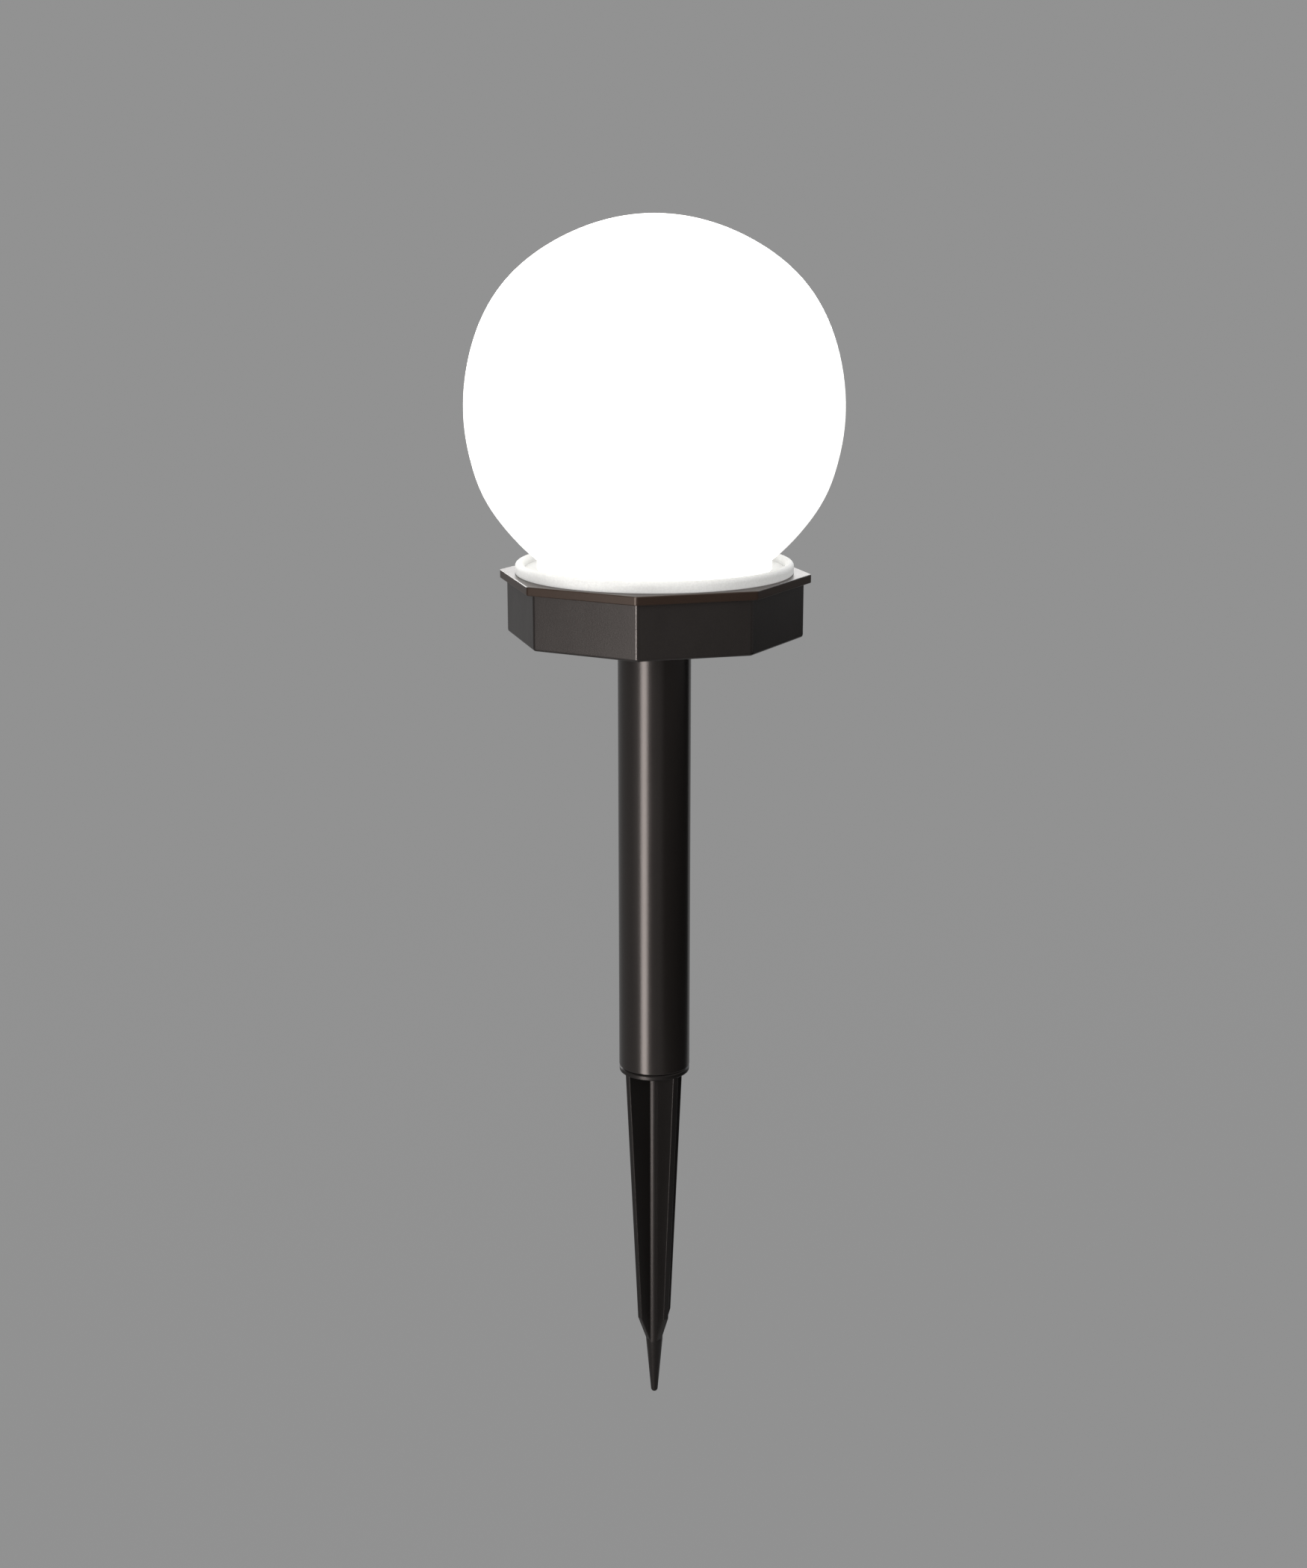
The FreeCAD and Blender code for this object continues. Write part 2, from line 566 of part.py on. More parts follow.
def globe_dish():
    """Rim, gutter floor and raised hub with its deck, turned as one, then pocketed and bored."""
    rim_inside = RIM_RADIUS - RIM_THICKNESS
    rim_middle = RIM_RADIUS - RIM_THICKNESS / 2
    rim_spring = LID_TOP + RIM_HEIGHT - RIM_THICKNESS / 2
    foot_share = 1 - math.sqrt(0.5)
    foot_start = (RIM_RADIUS - RIM_FOOT_EDGE, LID_TOP)
    foot_middle = (RIM_RADIUS - RIM_FOOT_EDGE * foot_share, LID_TOP + RIM_FOOT_EDGE * foot_share)
    foot_end = (RIM_RADIUS, LID_TOP + RIM_FOOT_EDGE)
    groove_low = LID_TOP + SEAL_HEIGHT - SEAL_GROOVE_WIDTH / 2
    groove_high = groove_low + SEAL_GROOVE_WIDTH
    groove_floor = HUB_RADIUS + SEAL_PROUD - 2 * SEAL_WIRE_RADIUS - ROUND_ERROR
    shape = lathe([
        foot_start,
        flat_arc(foot_start, foot_middle, foot_end),
        (RIM_RADIUS, rim_spring),
        flat_arc((RIM_RADIUS, rim_spring), (rim_middle, LID_TOP + RIM_HEIGHT), (rim_inside, rim_spring)),
        (rim_inside, DISH_FLOOR_TOP),
        (HUB_RADIUS, DISH_FLOOR_TOP),
        (HUB_RADIUS, groove_low),
        (groove_floor, groove_low),
        (groove_floor, groove_high),
        (HUB_RADIUS, groove_high),
        (HUB_RADIUS, HUB_TOP - HUB_LEAD_IN),
        (HUB_RADIUS - HUB_LEAD_IN, HUB_TOP),
        (0, HUB_TOP),
        (0, DECK_LOW),
        (HUB_INSIDE, DECK_LOW),
        (HUB_INSIDE, LID_TOP),
    ])
    shape = shape.cut(block(POCKET_SIDE, POCKET_SIDE, POCKET_LOW, HUB_TOP))
    bosses = [rod(DISH_BOSS_RADIUS, LID_TOP, DECK_LOW + ROUND_ERROR, place.x, place.y)
              for place in quarter_places(DISH_BOSS_PLACE, 45)]
    bosses += [rod(LAMP_BOARD_BOSS_RADIUS, LAMP_BOARD_TOP, DECK_LOW + ROUND_ERROR, place.x, place.y)
               for place in lamp_board_screw_places()]
    shape = shape.fuse(bosses).removeSplitter()
    holes = [rod(LEAD_HOLE_RADIUS, DECK_LOW, HUB_TOP)]
    for place in quarter_places(LAMP_PLACE, 0):
        holes.append(rod(LAMP_RADIUS + SCREWED_GAP, DECK_LOW, HUB_TOP, place.x, place.y))
    pilot = SCREW_RADIUS + THREAD_GAP
    for place in quarter_places(DISH_BOSS_PLACE, 45):
        holes.append(rod(pilot, LID_TOP, LID_TOP + DISH_SCREW_BITE + SCREWED_GAP, place.x, place.y))
    small_pilot = SMALL_SCREW_RADIUS + THREAD_GAP
    for place in lamp_board_screw_places():
        pilot_top = LAMP_BOARD_TOP + SMALL_SCREW_BITE + SCREWED_GAP
        holes.append(rod(small_pilot, LAMP_BOARD_TOP, pilot_top, place.x, place.y))
    return shape.cut(holes)


def neck_seal():
    ring_radius = HUB_RADIUS + SEAL_PROUD - SEAL_WIRE_RADIUS
    return Part.makeTorus(ring_radius, SEAL_WIRE_RADIUS, Vector(0, 0, LID_TOP + SEAL_HEIGHT), UP)


def solar_backing():
    return block(PANEL_SIDE, PANEL_SIDE, POCKET_LOW, POCKET_LOW + PANEL_BACKING)


def solar_cells():
    """Strips side by side on the backing."""
    pitch = (PANEL_SIDE - CELL_SPACE) / CELL_COUNT
    low = POCKET_LOW + PANEL_BACKING
    strips = []
    for number in range(CELL_COUNT):
        x = (number - (CELL_COUNT - 1) / 2) * pitch
        strips.append(block(pitch - CELL_SPACE, PANEL_SIDE - 2 * CELL_SPACE, low, low + CELL_THICKNESS, x))
    return Part.makeCompound(strips)


def solar_cover():
    """Clear resin sheet over the cells."""
    low = POCKET_LOW + PANEL_BACKING + CELL_THICKNESS
    cover = block(PANEL_SIDE, PANEL_SIDE, low, low + PANEL_COVER)
    return cover.makeFillet(PANEL_COVER / 3, level_edges(cover, low + PANEL_COVER))


def led_board():
    """Ring board hung under the deck, notched round the dish's bosses."""
    board = rod(LAMP_BOARD_OUTSIDE, LAMP_BOARD_LOW, LAMP_BOARD_TOP)
    holes = [rod(LAMP_BOARD_INSIDE, LAMP_BOARD_LOW, LAMP_BOARD_TOP)]
    notch = DISH_BOSS_RADIUS + SCREWED_GAP
    for place in quarter_places(DISH_BOSS_PLACE, 45):
        outward = place * (LAMP_BOARD_OUTSIDE / DISH_BOSS_PLACE)
        holes.append(rod(notch, LAMP_BOARD_LOW, LAMP_BOARD_TOP, place.x, place.y))
        holes.append(rod(notch, LAMP_BOARD_LOW, LAMP_BOARD_TOP, outward.x, outward.y))
    for place in lamp_board_screw_places():
        holes.append(rod(SMALL_SCREW_RADIUS + THREAD_GAP, LAMP_BOARD_LOW, LAMP_BOARD_TOP, place.x, place.y))
    return board.cut(holes)


def leds():
    """Four round lamps with flanges, standing on the ring board."""
    dome_low = LAMP_HEIGHT - LAMP_RADIUS
    diagonal = LAMP_RADIUS * math.sqrt(0.5)
    lamp = lathe([
        (0, 0),
        (LAMP_FLANGE_RADIUS, 0),
        (LAMP_FLANGE_RADIUS, LAMP_FLANGE_HEIGHT),
        (LAMP_RADIUS, LAMP_FLANGE_HEIGHT),
        (LAMP_RADIUS, dome_low),
        flat_arc((LAMP_RADIUS, dome_low), (diagonal, dome_low + diagonal), (0, LAMP_HEIGHT)),
    ])
    lamps = []
    for place in quarter_places(LAMP_PLACE, 0):
        one = lamp.copy()
        one.translate(Vector(place.x, place.y, LAMP_BOARD_TOP))
        lamps.append(one)
    return Part.makeCompound(lamps)


def led_board_screws():
    bearing = LAMP_BOARD_LOW
    length = LAMP_BOARD_THICKNESS + SMALL_SCREW_BITE
    return Part.makeCompound([
        screw(SMALL_SCREW_RADIUS, SMALL_HEAD_RADIUS, SMALL_HEAD_HEIGHT, length,
              Vector(place.x, place.y, bearing), True)
        for place in lamp_board_screw_places()])


# Housing

def housing_lid():
    """Octagonal plate with a locating skirt, a gasket groove and a boss over each pillar."""
    plate = octagon(LID_APOTHEM, LID_CORNER, TUB_HIGH, LID_TOP)
    plate = plate.makeFillet(LID_EDGE, level_edges(plate, LID_TOP) + level_edges(plate, TUB_HIGH))
    skirt_outside = TUB_INSIDE - SCREWED_GAP
    skirt_low = TUB_HIGH - SKIRT_DEPTH
    skirt = octagon(skirt_outside, TUB_INNER_CORNER, skirt_low, TUB_HIGH + ROUND_ERROR)
    skirt = skirt.cut(octagon(skirt_outside - SKIRT_THICKNESS, TUB_INNER_CORNER, skirt_low, LID_TOP))
    bosses = [rod(PILLAR_RADIUS, PILLAR_TOP, TUB_HIGH + ROUND_ERROR, place.x, place.y)
              for place in quarter_places(PILLAR_PLACE, 0)]
    shape = plate.fuse([skirt] + bosses).removeSplitter()
    groove_middle = TUB_APOTHEM - TUB_WALL / 2
    groove = octagon(groove_middle + GASKET_WIDTH / 2, TUB_CORNER, TUB_HIGH, TUB_HIGH + GASKET_DEPTH)
    groove = groove.cut(octagon(groove_middle - GASKET_WIDTH / 2, TUB_CORNER, TUB_HIGH, LID_TOP))
    holes = [groove, rod(LID_OPENING, TUB_HIGH, LID_TOP)]
    for place in quarter_places(DISH_BOSS_PLACE, 45):
        recess_top = TUB_HIGH + SCREW_HEAD_HEIGHT
        holes.append(rod(SCREW_HEAD_RADIUS + SCREWED_GAP, TUB_HIGH, recess_top, place.x, place.y))
        holes.append(rod(SCREW_RADIUS + THREAD_GAP, TUB_HIGH, LID_TOP, place.x, place.y))
    for place in quarter_places(PILLAR_PLACE, 0):
        pilot_top = TUB_HIGH + LID_THICKNESS / 2
        holes.append(rod(SCREW_RADIUS + THREAD_GAP, PILLAR_TOP, pilot_top, place.x, place.y))
    return shape.cut(holes)


def lid_gasket():
    """Bead that fills the lid's groove and bears on the tub's rim."""
    middle = TUB_APOTHEM - TUB_WALL / 2
    outer = octagon(middle + GASKET_WIDTH / 2, TUB_CORNER, TUB_HIGH, TUB_HIGH + GASKET_DEPTH)
    return outer.cut(octagon(middle - GASKET_WIDTH / 2, TUB_CORNER, TUB_HIGH, LID_TOP))


def dish_screws():
    bearing = TUB_HIGH + SCREW_HEAD_HEIGHT
    length = LID_TOP - bearing + DISH_SCREW_BITE
    return Part.makeCompound([
        screw(SCREW_RADIUS, SCREW_HEAD_RADIUS, SCREW_HEAD_HEIGHT, length,
              Vector(place.x, place.y, bearing), True)
        for place in quarter_places(DISH_BOSS_PLACE, 45)])


def housing_screws():
    length = PILLAR_WEB + LID_BOSS_DEPTH + LID_THICKNESS / 2 - SCREWED_GAP
    return Part.makeCompound([
        screw(SCREW_RADIUS, SCREW_HEAD_RADIUS, SCREW_HEAD_HEIGHT, length,
              Vector(place.x, place.y, PILLAR_WEB_LOW), True)
        for place in quarter_places(PILLAR_PLACE, 0)])


def standoff_places():
    return [Vector(side * BOARD_SCREW_PLACE, BOARD_Y, 0) for side in (-1, 1)]


def switch_screw_places():
    return [Vector(side * SWITCH_SCREW_PLACE, SWITCH_Y, 0) for side in (-1, 1)]


def tub_spigot():
    """Hollow keyed spigot under the floor, which the pole's upper end slides over."""
    low = TUB_LOW - SPIGOT_LENGTH
    tube = lathe([
        (SPIGOT_RADIUS - SPIGOT_WALL, TUB_LOW),
        (SPIGOT_RADIUS - SPIGOT_WALL, low),
        (SPIGOT_RADIUS - SPIGOT_LEAD_IN, low),
        (SPIGOT_RADIUS, low + SPIGOT_LEAD_IN),
        (SPIGOT_RADIUS, FLOOR_TOP - TUB_FLOOR / 2),
        (SPIGOT_RADIUS - SPIGOT_WALL, FLOOR_TOP - TUB_FLOOR / 2),
    ])
    return tube.fuse(key_on(SPIGOT_RADIUS, low + 2 * SPIGOT_LEAD_IN, FLOOR_TOP - TUB_FLOOR / 2))


def housing_tub():
    """Octagonal shell with floor, corner pillars, board stand-offs, switch plinth and spigot."""
    shell = octagon(TUB_APOTHEM, TUB_CORNER, TUB_LOW, TUB_HIGH)
    shell = shell.makeFillet(TUB_FOOT_EDGE, level_edges(shell, TUB_LOW))
    shell = shell.cut(octagon(TUB_INSIDE, TUB_INNER_CORNER, FLOOR_TOP, TUB_HIGH))
    root = FLOOR_TOP - TUB_FLOOR / 4
    plinth_length = SWITCH_PLATE_LENGTH + 2 * PLINTH_MARGIN
    plinth_width = SWITCH_CASE_WIDTH + 2 * PLINTH_MARGIN
    raised = [tub_spigot(), block(plinth_length, plinth_width, root, SWITCH_LOW, y=SWITCH_Y)]
    for place in quarter_places(PILLAR_PLACE, 0):
        raised.append(rod(PILLAR_RADIUS, root, PILLAR_TOP, place.x, place.y))
    for place in standoff_places():
        raised.append(rod(STANDOFF_RADIUS, root, BOARD_LOW, place.x, place.y))
    shape = shell.fuse(raised).removeSplitter()
    holes = []
    for place in quarter_places(PILLAR_PLACE, 0):
        holes.append(rod(PILLAR_WELL_RADIUS, TUB_LOW, PILLAR_WEB_LOW, place.x, place.y))
        holes.append(rod(SCREW_RADIUS + THREAD_GAP, PILLAR_WEB_LOW, PILLAR_TOP, place.x, place.y))
    small_pilot = SMALL_SCREW_RADIUS + THREAD_GAP
    for place in standoff_places():
        pilot_low = BOARD_LOW - SMALL_SCREW_BITE - SCREWED_GAP
        holes.append(rod(small_pilot, pilot_low, BOARD_LOW, place.x, place.y))
    for place in switch_screw_places():
        pilot_low = SWITCH_LOW - SMALL_SCREW_BITE
        holes.append(rod(small_pilot, pilot_low, SWITCH_LOW, place.x, place.y))
    slot_width = SWITCH_KNOB + 2 * SWITCH_CLEAR
    recess_low = TUB_LOW - ROUND_ERROR
    holes.append(block(SWITCH_SLOT_LENGTH, slot_width, recess_low, SWITCH_LOW, y=SWITCH_Y))
    recess = block(SWITCH_SLOT_LENGTH + 2 * RECESS_MARGIN, slot_width + 2 * RECESS_MARGIN,
                   recess_low, TUB_LOW + RECESS_DEPTH, y=SWITCH_Y)
    holes.append(recess)
    return shape.cut(holes)


# Switch

def switch_case():
    """Folded steel cover with two ears, slotted for the knob and open on top."""
    plate = block(SWITCH_PLATE_LENGTH, SWITCH_CASE_WIDTH, SWITCH_LOW, SWITCH_CAVITY_LOW, y=SWITCH_Y)
    box = block(SWITCH_CASE_LENGTH, SWITCH_CASE_WIDTH, SWITCH_LOW, SWITCH_CASE_TOP, y=SWITCH_Y)
    cavity_width = SWITCH_CASE_WIDTH - 2 * SWITCH_CASE_WALL
    holes = [block(SWITCH_CAVITY_LENGTH, cavity_width, SWITCH_CAVITY_LOW, SWITCH_CASE_TOP, y=SWITCH_Y)]
    slot_width = SWITCH_KNOB + 2 * SWITCH_CLEAR
    holes.append(block(SWITCH_SLOT_LENGTH, slot_width, SWITCH_LOW, SWITCH_CAVITY_LOW, y=SWITCH_Y))
    for place in switch_screw_places():
        holes.append(rod(SMALL_SCREW_RADIUS + THREAD_GAP, SWITCH_LOW, SWITCH_CAVITY_LOW, place.x, place.y))
    return plate.fuse(box).removeSplitter().cut(holes)


def switch_pins(top):
    """Three flat pins in a row, up from the base's underside."""
    return [block(SWITCH_PIN_WIDTH, SWITCH_PIN_THICKNESS, SWITCH_BASE_LOW, top,
                  number * SWITCH_PIN_SPACING, SWITCH_Y)
            for number in (-1, 0, 1)]


def switch_base():
    """Moulded plate that closes the case and carries the three terminals."""
    width = SWITCH_CASE_WIDTH - 2 * SWITCH_CASE_WALL
    base = block(SWITCH_CAVITY_LENGTH, width, SWITCH_BASE_LOW, SWITCH_CASE_TOP, y=SWITCH_Y)
    return base.cut(switch_pins(SWITCH_CASE_TOP))


def switch_terminals():
    return Part.makeCompound(switch_pins(SWITCH_PIN_TOP))


def switch_slider():
    """Shoe inside the case and ribbed knob through the floor's slot, at its off end."""
    x = -SWITCH_TRAVEL / 2
    shoe_low = SWITCH_CAVITY_LOW + SWITCH_CLEAR
    shoe_width = SWITCH_CASE_WIDTH - 2 * SWITCH_CASE_WALL - 2 * SWITCH_CLEAR
    shoe = block(SWITCH_SHOE_LENGTH, shoe_width, shoe_low, shoe_low + SWITCH_SHOE_HEIGHT, x, SWITCH_Y)
    knob_low = TUB_LOW - SWITCH_KNOB_PROUD
    knob = block(SWITCH_KNOB, SWITCH_KNOB, knob_low, shoe_low, x, SWITCH_Y)
    knob = knob.makeFillet(SWITCH_KNOB_EDGE, level_edges(knob, knob_low))
    grooves = [block(SWITCH_GROOVE, SWITCH_KNOB, knob_low, knob_low + SWITCH_GROOVE,
                     x + number * SWITCH_GROOVE_SPACING, SWITCH_Y)
               for number in (-1, 0, 1)]
    return shoe.fuse(knob).removeSplitter().cut(grooves)


def switch_screws():
    length = SWITCH_EAR_THICKNESS + SMALL_SCREW_BITE - SCREWED_GAP
    return Part.makeCompound([
        screw(SMALL_SCREW_RADIUS, SMALL_HEAD_RADIUS, SMALL_HEAD_HEIGHT, length,
              Vector(place.x, place.y, SWITCH_CAVITY_LOW), False)
        for place in switch_screw_places()])


# Control board

def control_board():
    board = block(BOARD_LENGTH, BOARD_DEPTH, BOARD_LOW, BOARD_TOP, y=BOARD_Y)
    holes = [rod(SMALL_SCREW_RADIUS + THREAD_GAP, BOARD_LOW, BOARD_TOP, place.x, place.y)
             for place in standoff_places()]
    return board.cut(holes)


def control_chip():
    return block(CHIP_LENGTH, CHIP_WIDTH, BOARD_TOP, BOARD_TOP + CHIP_HEIGHT, 0, BOARD_Y)


def storage_coil():
    """Colour-ringed inductor lying on the board."""
    start = Vector(-BOARD_LENGTH / 4 - COIL_LENGTH / 2, BOARD_Y + BOARD_DEPTH / 4, BOARD_TOP + COIL_RADIUS)
    coil = Part.makeCylinder(COIL_RADIUS, COIL_LENGTH, start, Vector(1, 0, 0))
    return coil.makeFillet(COIL_RADIUS / 3, coil.Edges)


def buffer_capacitor():
    return rod(CAPACITOR_RADIUS, BOARD_TOP, BOARD_TOP + CAPACITOR_HEIGHT, BOARD_LENGTH / 4, BOARD_Y)


def control_board_screws():
    length = BOARD_THICKNESS + SMALL_SCREW_BITE
    return Part.makeCompound([
        screw(SMALL_SCREW_RADIUS, SMALL_HEAD_RADIUS, SMALL_HEAD_HEIGHT, length,
              Vector(place.x, place.y, BOARD_TOP), False)
        for place in standoff_places()])


# Battery

def battery():
    """Rechargeable cell lying along X, its nub towards +X."""
    half = BATTERY_LENGTH / 2
    can_end = half - BATTERY_NUB_LENGTH
    cell = lathe([
        (0, -half),
        (BATTERY_RADIUS - BATTERY_EDGE, -half),
        (BATTERY_RADIUS, -half + BATTERY_EDGE),
        (BATTERY_RADIUS, can_end - BATTERY_EDGE),
        (BATTERY_RADIUS - BATTERY_EDGE, can_end),
        (BATTERY_NUB_RADIUS, can_end),
        (BATTERY_NUB_RADIUS, half),
        (0, half),
    ])
    cell.rotate(ORIGIN, Vector(0, 1, 0), 90)
    cell.translate(Vector(0, BATTERY_Y, BATTERY_Z))
    return cell


def battery_holder():
    """Open trough with end walls."""
    body = block(HOLDER_LENGTH, HOLDER_WIDTH, HOLDER_LOW, HOLDER_TOP, y=BATTERY_Y)
    start = Vector(-HOLDER_CAVITY / 2, BATTERY_Y, BATTERY_Z)
    trough = Part.makeCylinder(TROUGH_RADIUS, HOLDER_CAVITY, start, Vector(1, 0, 0))
    above = block(HOLDER_CAVITY, 2 * TROUGH_RADIUS, BATTERY_Z, HOLDER_TOP, y=BATTERY_Y)
    return body.cut([trough, above])


def holder_tape():
    return block(HOLDER_LENGTH, HOLDER_WIDTH, FLOOR_TOP, HOLDER_LOW, y=BATTERY_Y)


def contact_plate(bow):
    """Plate against the holder's +X end wall, with a bowed leaf that reaches the battery."""
    wall_face = HOLDER_CAVITY / 2
    low = BATTERY_Z - CONTACT_FOOT
    x = wall_face - CONTACT_THICKNESS / 2
    plate = block(CONTACT_THICKNESS, CONTACT_WIDTH, low, CONTACT_TOP, x, BATTERY_Y)
    plate_face = wall_face - CONTACT_THICKNESS
    centre_x = plate_face - bow + CONTACT_BOW_RADIUS
    centre = Vector(centre_x, BATTERY_Y - CONTACT_WIDTH / 4, BATTERY_Z)
    sideways = Vector(0, 1, 0)
    leaf = Part.makeCylinder(CONTACT_BOW_RADIUS, CONTACT_WIDTH / 2, centre, sideways)
    inner = Part.makeCylinder(CONTACT_BOW_RADIUS - CONTACT_THICKNESS, CONTACT_WIDTH / 2, centre, sideways)
    clip_high = BATTERY_Z + CONTACT_FOOT
    clip = block(2 * bow, CONTACT_WIDTH, low, clip_high, plate_face - bow + ROUND_ERROR, BATTERY_Y)
    leaf = leaf.cut(inner).common(clip)
    return plate.fuse(leaf).removeSplitter()


def contact_button_plate():
    """At the battery's nub."""
    return contact_plate(CONTACT_SPACE - CONTACT_THICKNESS - SCREWED_GAP / 2)


def contact_spring_plate():
    """At the battery's flat end."""
    plate = contact_plate(CONTACT_SPACE - CONTACT_THICKNESS - SCREWED_GAP / 2)
    plate.rotate(Vector(0, BATTERY_Y, 0), UP, HALF_TURN)
    return plate


# Leads

def leads(side):
    """The four leads of one colour. Side is -1 for red and 1 for black."""
    x = side * LEAD_SPACING / 2
    board_pad = BOARD_TOP + ROUND_ERROR
    board_back = BOARD_Y + BOARD_DEPTH / 2 - PAD_INSET
    board_front = BOARD_Y - BOARD_DEPTH / 2 + PAD_INSET
    lid_turn = PILLAR_TOP + LID_LEAD_TURN
    panel_lead = lead([
        Vector(x, PANEL_LEAD_Y, POCKET_LOW - ROUND_ERROR),
        Vector(x, PANEL_LEAD_Y, lid_turn),
        Vector(x, board_back, PILLAR_TOP - PANEL_LEAD_DROP),
        Vector(x, board_back, board_pad),
    ])
    lamp_y = -(LAMP_BOARD_INSIDE + LEAD_RADIUS + LEAD_WALL_SPACE)
    lamp_pad_y = BOARD_Y - BOARD_DEPTH / 2 + LAMP_PAD_INSET
    lamp_lead = lead([
        Vector(x, lamp_y, LAMP_BOARD_LOW - ROUND_ERROR),
        Vector(x, lamp_y, lid_turn),
        Vector(x, lamp_pad_y, PILLAR_TOP),
        Vector(x, lamp_pad_y, board_pad),
    ])
    pin_x = side * SWITCH_PIN_SPACING
    pad_x = pin_x + side * SWITCH_PAD_OFFSET
    switch_turn = SWITCH_PIN_TOP + SWITCH_LEAD_RISE
    switch_lead = lead([
        Vector(pin_x, SWITCH_Y, SWITCH_PIN_TOP + ROUND_ERROR),
        Vector(pin_x, SWITCH_Y, switch_turn),
        Vector(pad_x, board_front, switch_turn - SWITCH_LEAD_DROP),
        Vector(pad_x, board_front, board_pad),
    ])
    tab_x = -side * (HOLDER_CAVITY / 2 - CONTACT_THICKNESS - LEAD_RADIUS - ROUND_ERROR)
    pad_x = -side * (BOARD_LENGTH / 2 - BATTERY_PAD_INSET)
    battery_turn = CONTACT_TOP + BATTERY_LEAD_RISE
    battery_lead = lead([
        Vector(tab_x, BATTERY_Y, CONTACT_TOP - SOLDER_OVERLAP),
        Vector(tab_x, BATTERY_Y, battery_turn),
        Vector(pad_x, board_back, battery_turn - BATTERY_LEAD_DROP),
        Vector(pad_x, board_back, board_pad),
    ])
    return Part.makeCompound([panel_lead, lamp_lead, switch_lead, battery_lead])


def red_leads():
    return leads(-1)


def black_leads():
    return leads(1)


PIECES = (
    spike,
    pole_tube,
    housing_tub, housing_lid, lid_gasket, housing_screws,
    globe_dish, dish_screws, neck_seal, globe,
    solar_backing, solar_cells, solar_cover,
    led_board, leds, led_board_screws,
    switch_case, switch_base, switch_terminals, switch_slider, switch_screws,
    control_board, control_chip, storage_coil, buffer_capacitor, control_board_screws,
    battery_holder, holder_tape, battery, contact_button_plate, contact_spring_plate,
    red_leads, black_leads,
)


def main():
    os.makedirs("parts", exist_ok=True)
    for piece in PIECES:
        shape = piece()
        shape.exportStep("parts/" + piece.__name__ + ".step")
        sizes = shape.BoundBox
        print("%-22s valid %s solids %d volume %.1f z %.2f to %.2f" % (
            piece.__name__, shape.isValid(), len(shape.Solids), shape.Volume, sizes.ZMin, sizes.ZMax))


main()
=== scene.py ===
import math

import bpy
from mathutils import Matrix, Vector


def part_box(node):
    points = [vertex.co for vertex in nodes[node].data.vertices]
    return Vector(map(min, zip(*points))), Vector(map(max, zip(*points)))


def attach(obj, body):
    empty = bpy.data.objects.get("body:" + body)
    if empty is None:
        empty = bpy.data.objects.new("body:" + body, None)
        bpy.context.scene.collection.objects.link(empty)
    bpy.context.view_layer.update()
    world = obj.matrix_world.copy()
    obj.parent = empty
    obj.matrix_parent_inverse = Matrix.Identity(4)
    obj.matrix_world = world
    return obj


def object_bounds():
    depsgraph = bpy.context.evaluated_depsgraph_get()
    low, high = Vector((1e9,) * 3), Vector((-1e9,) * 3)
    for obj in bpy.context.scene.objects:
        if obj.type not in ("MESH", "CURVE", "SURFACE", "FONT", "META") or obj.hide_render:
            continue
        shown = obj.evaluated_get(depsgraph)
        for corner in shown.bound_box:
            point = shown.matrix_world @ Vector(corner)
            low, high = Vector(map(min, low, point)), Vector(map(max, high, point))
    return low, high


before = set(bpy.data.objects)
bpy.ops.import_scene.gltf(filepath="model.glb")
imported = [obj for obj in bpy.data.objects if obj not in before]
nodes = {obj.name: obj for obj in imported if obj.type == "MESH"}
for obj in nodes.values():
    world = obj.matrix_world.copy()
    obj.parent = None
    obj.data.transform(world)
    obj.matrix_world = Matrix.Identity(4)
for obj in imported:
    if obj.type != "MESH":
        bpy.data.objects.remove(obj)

# A garden globe light on its ground spike, lit. Lengths are in metres, +Z is up,
# and heights are measured from the ground line under the spike's collar.

cad_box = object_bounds()
MM = 0.001

# The photograph's frame
IMAGE_WIDTH = 1750
IMAGE_HEIGHT = 2100
LENS = 50.0
SENSOR = 36.0                        # along the image's height
CAMERA_TURN = math.radians(6.28)     # round to the right of the housing's front corner
CAMERA_DISTANCE = 0.6939             # from the light's axis
CAMERA_HEIGHT = 0.2751
CAMERA_TILT = math.radians(14.19)    # below level
AXIS_COLUMN = 876.24                 # image column in which the light's axis stands

# The studio
FLOOR_DROP = 0.20                    # floor below the spike's point
FLOOR_RADIUS = 5.0
BACKDROP_GREY = 0.287
FLOOR_GREY = 0.35
BACKDROP_SHARE = (0.93, 1.0)         # how far the floor looks like the backdrop,
BACKDROP_REACH = (0.3, 1.5)          # at these distances from the light's axis
ROOM_TINT = (0.93, 0.97, 1.0, 1)
ROOM_LIGHT = 0.10
CARD_GREY = 0.01
NEAREST_SEEN = 0.01
KEY_TINT = (1.0, 0.98, 0.955)
COOL_TINT = (0.85, 0.92, 1.0)

# The housing
HOUSING_SIDES = 8
CORNER_REACH = math.radians(0.5)     # turn to each side of a corner that its rounding takes up
UPRIGHT_RISE = (0.3, 0.6)            # rise of a normal where a face stops counting as upright

# The glow
GLOBE_GLOW = 1.02
NECK_GLOW = 0.76                     # share of the globe's glow behind the hub
NECK_FADE = (-1.0 * MM, 6.0 * MM)    # heights above the hub between which it comes back
DISH_PAINTED_GLOW = 0.33                     # painted glow on the dish, which is no lamp: it stands in for lamp light leaking through the wall and evens out the wall's shading
DISH_PAINTED_GLOW_INNER_SHARE = 0.70              # share of it on the wall's inner side
DISH_PAINTED_GLOW_DEPTH = (1.6 * MM, 0.6 * MM)     # depths in the wall between which it grows
PHOSPHOR_GLOW = 3.0

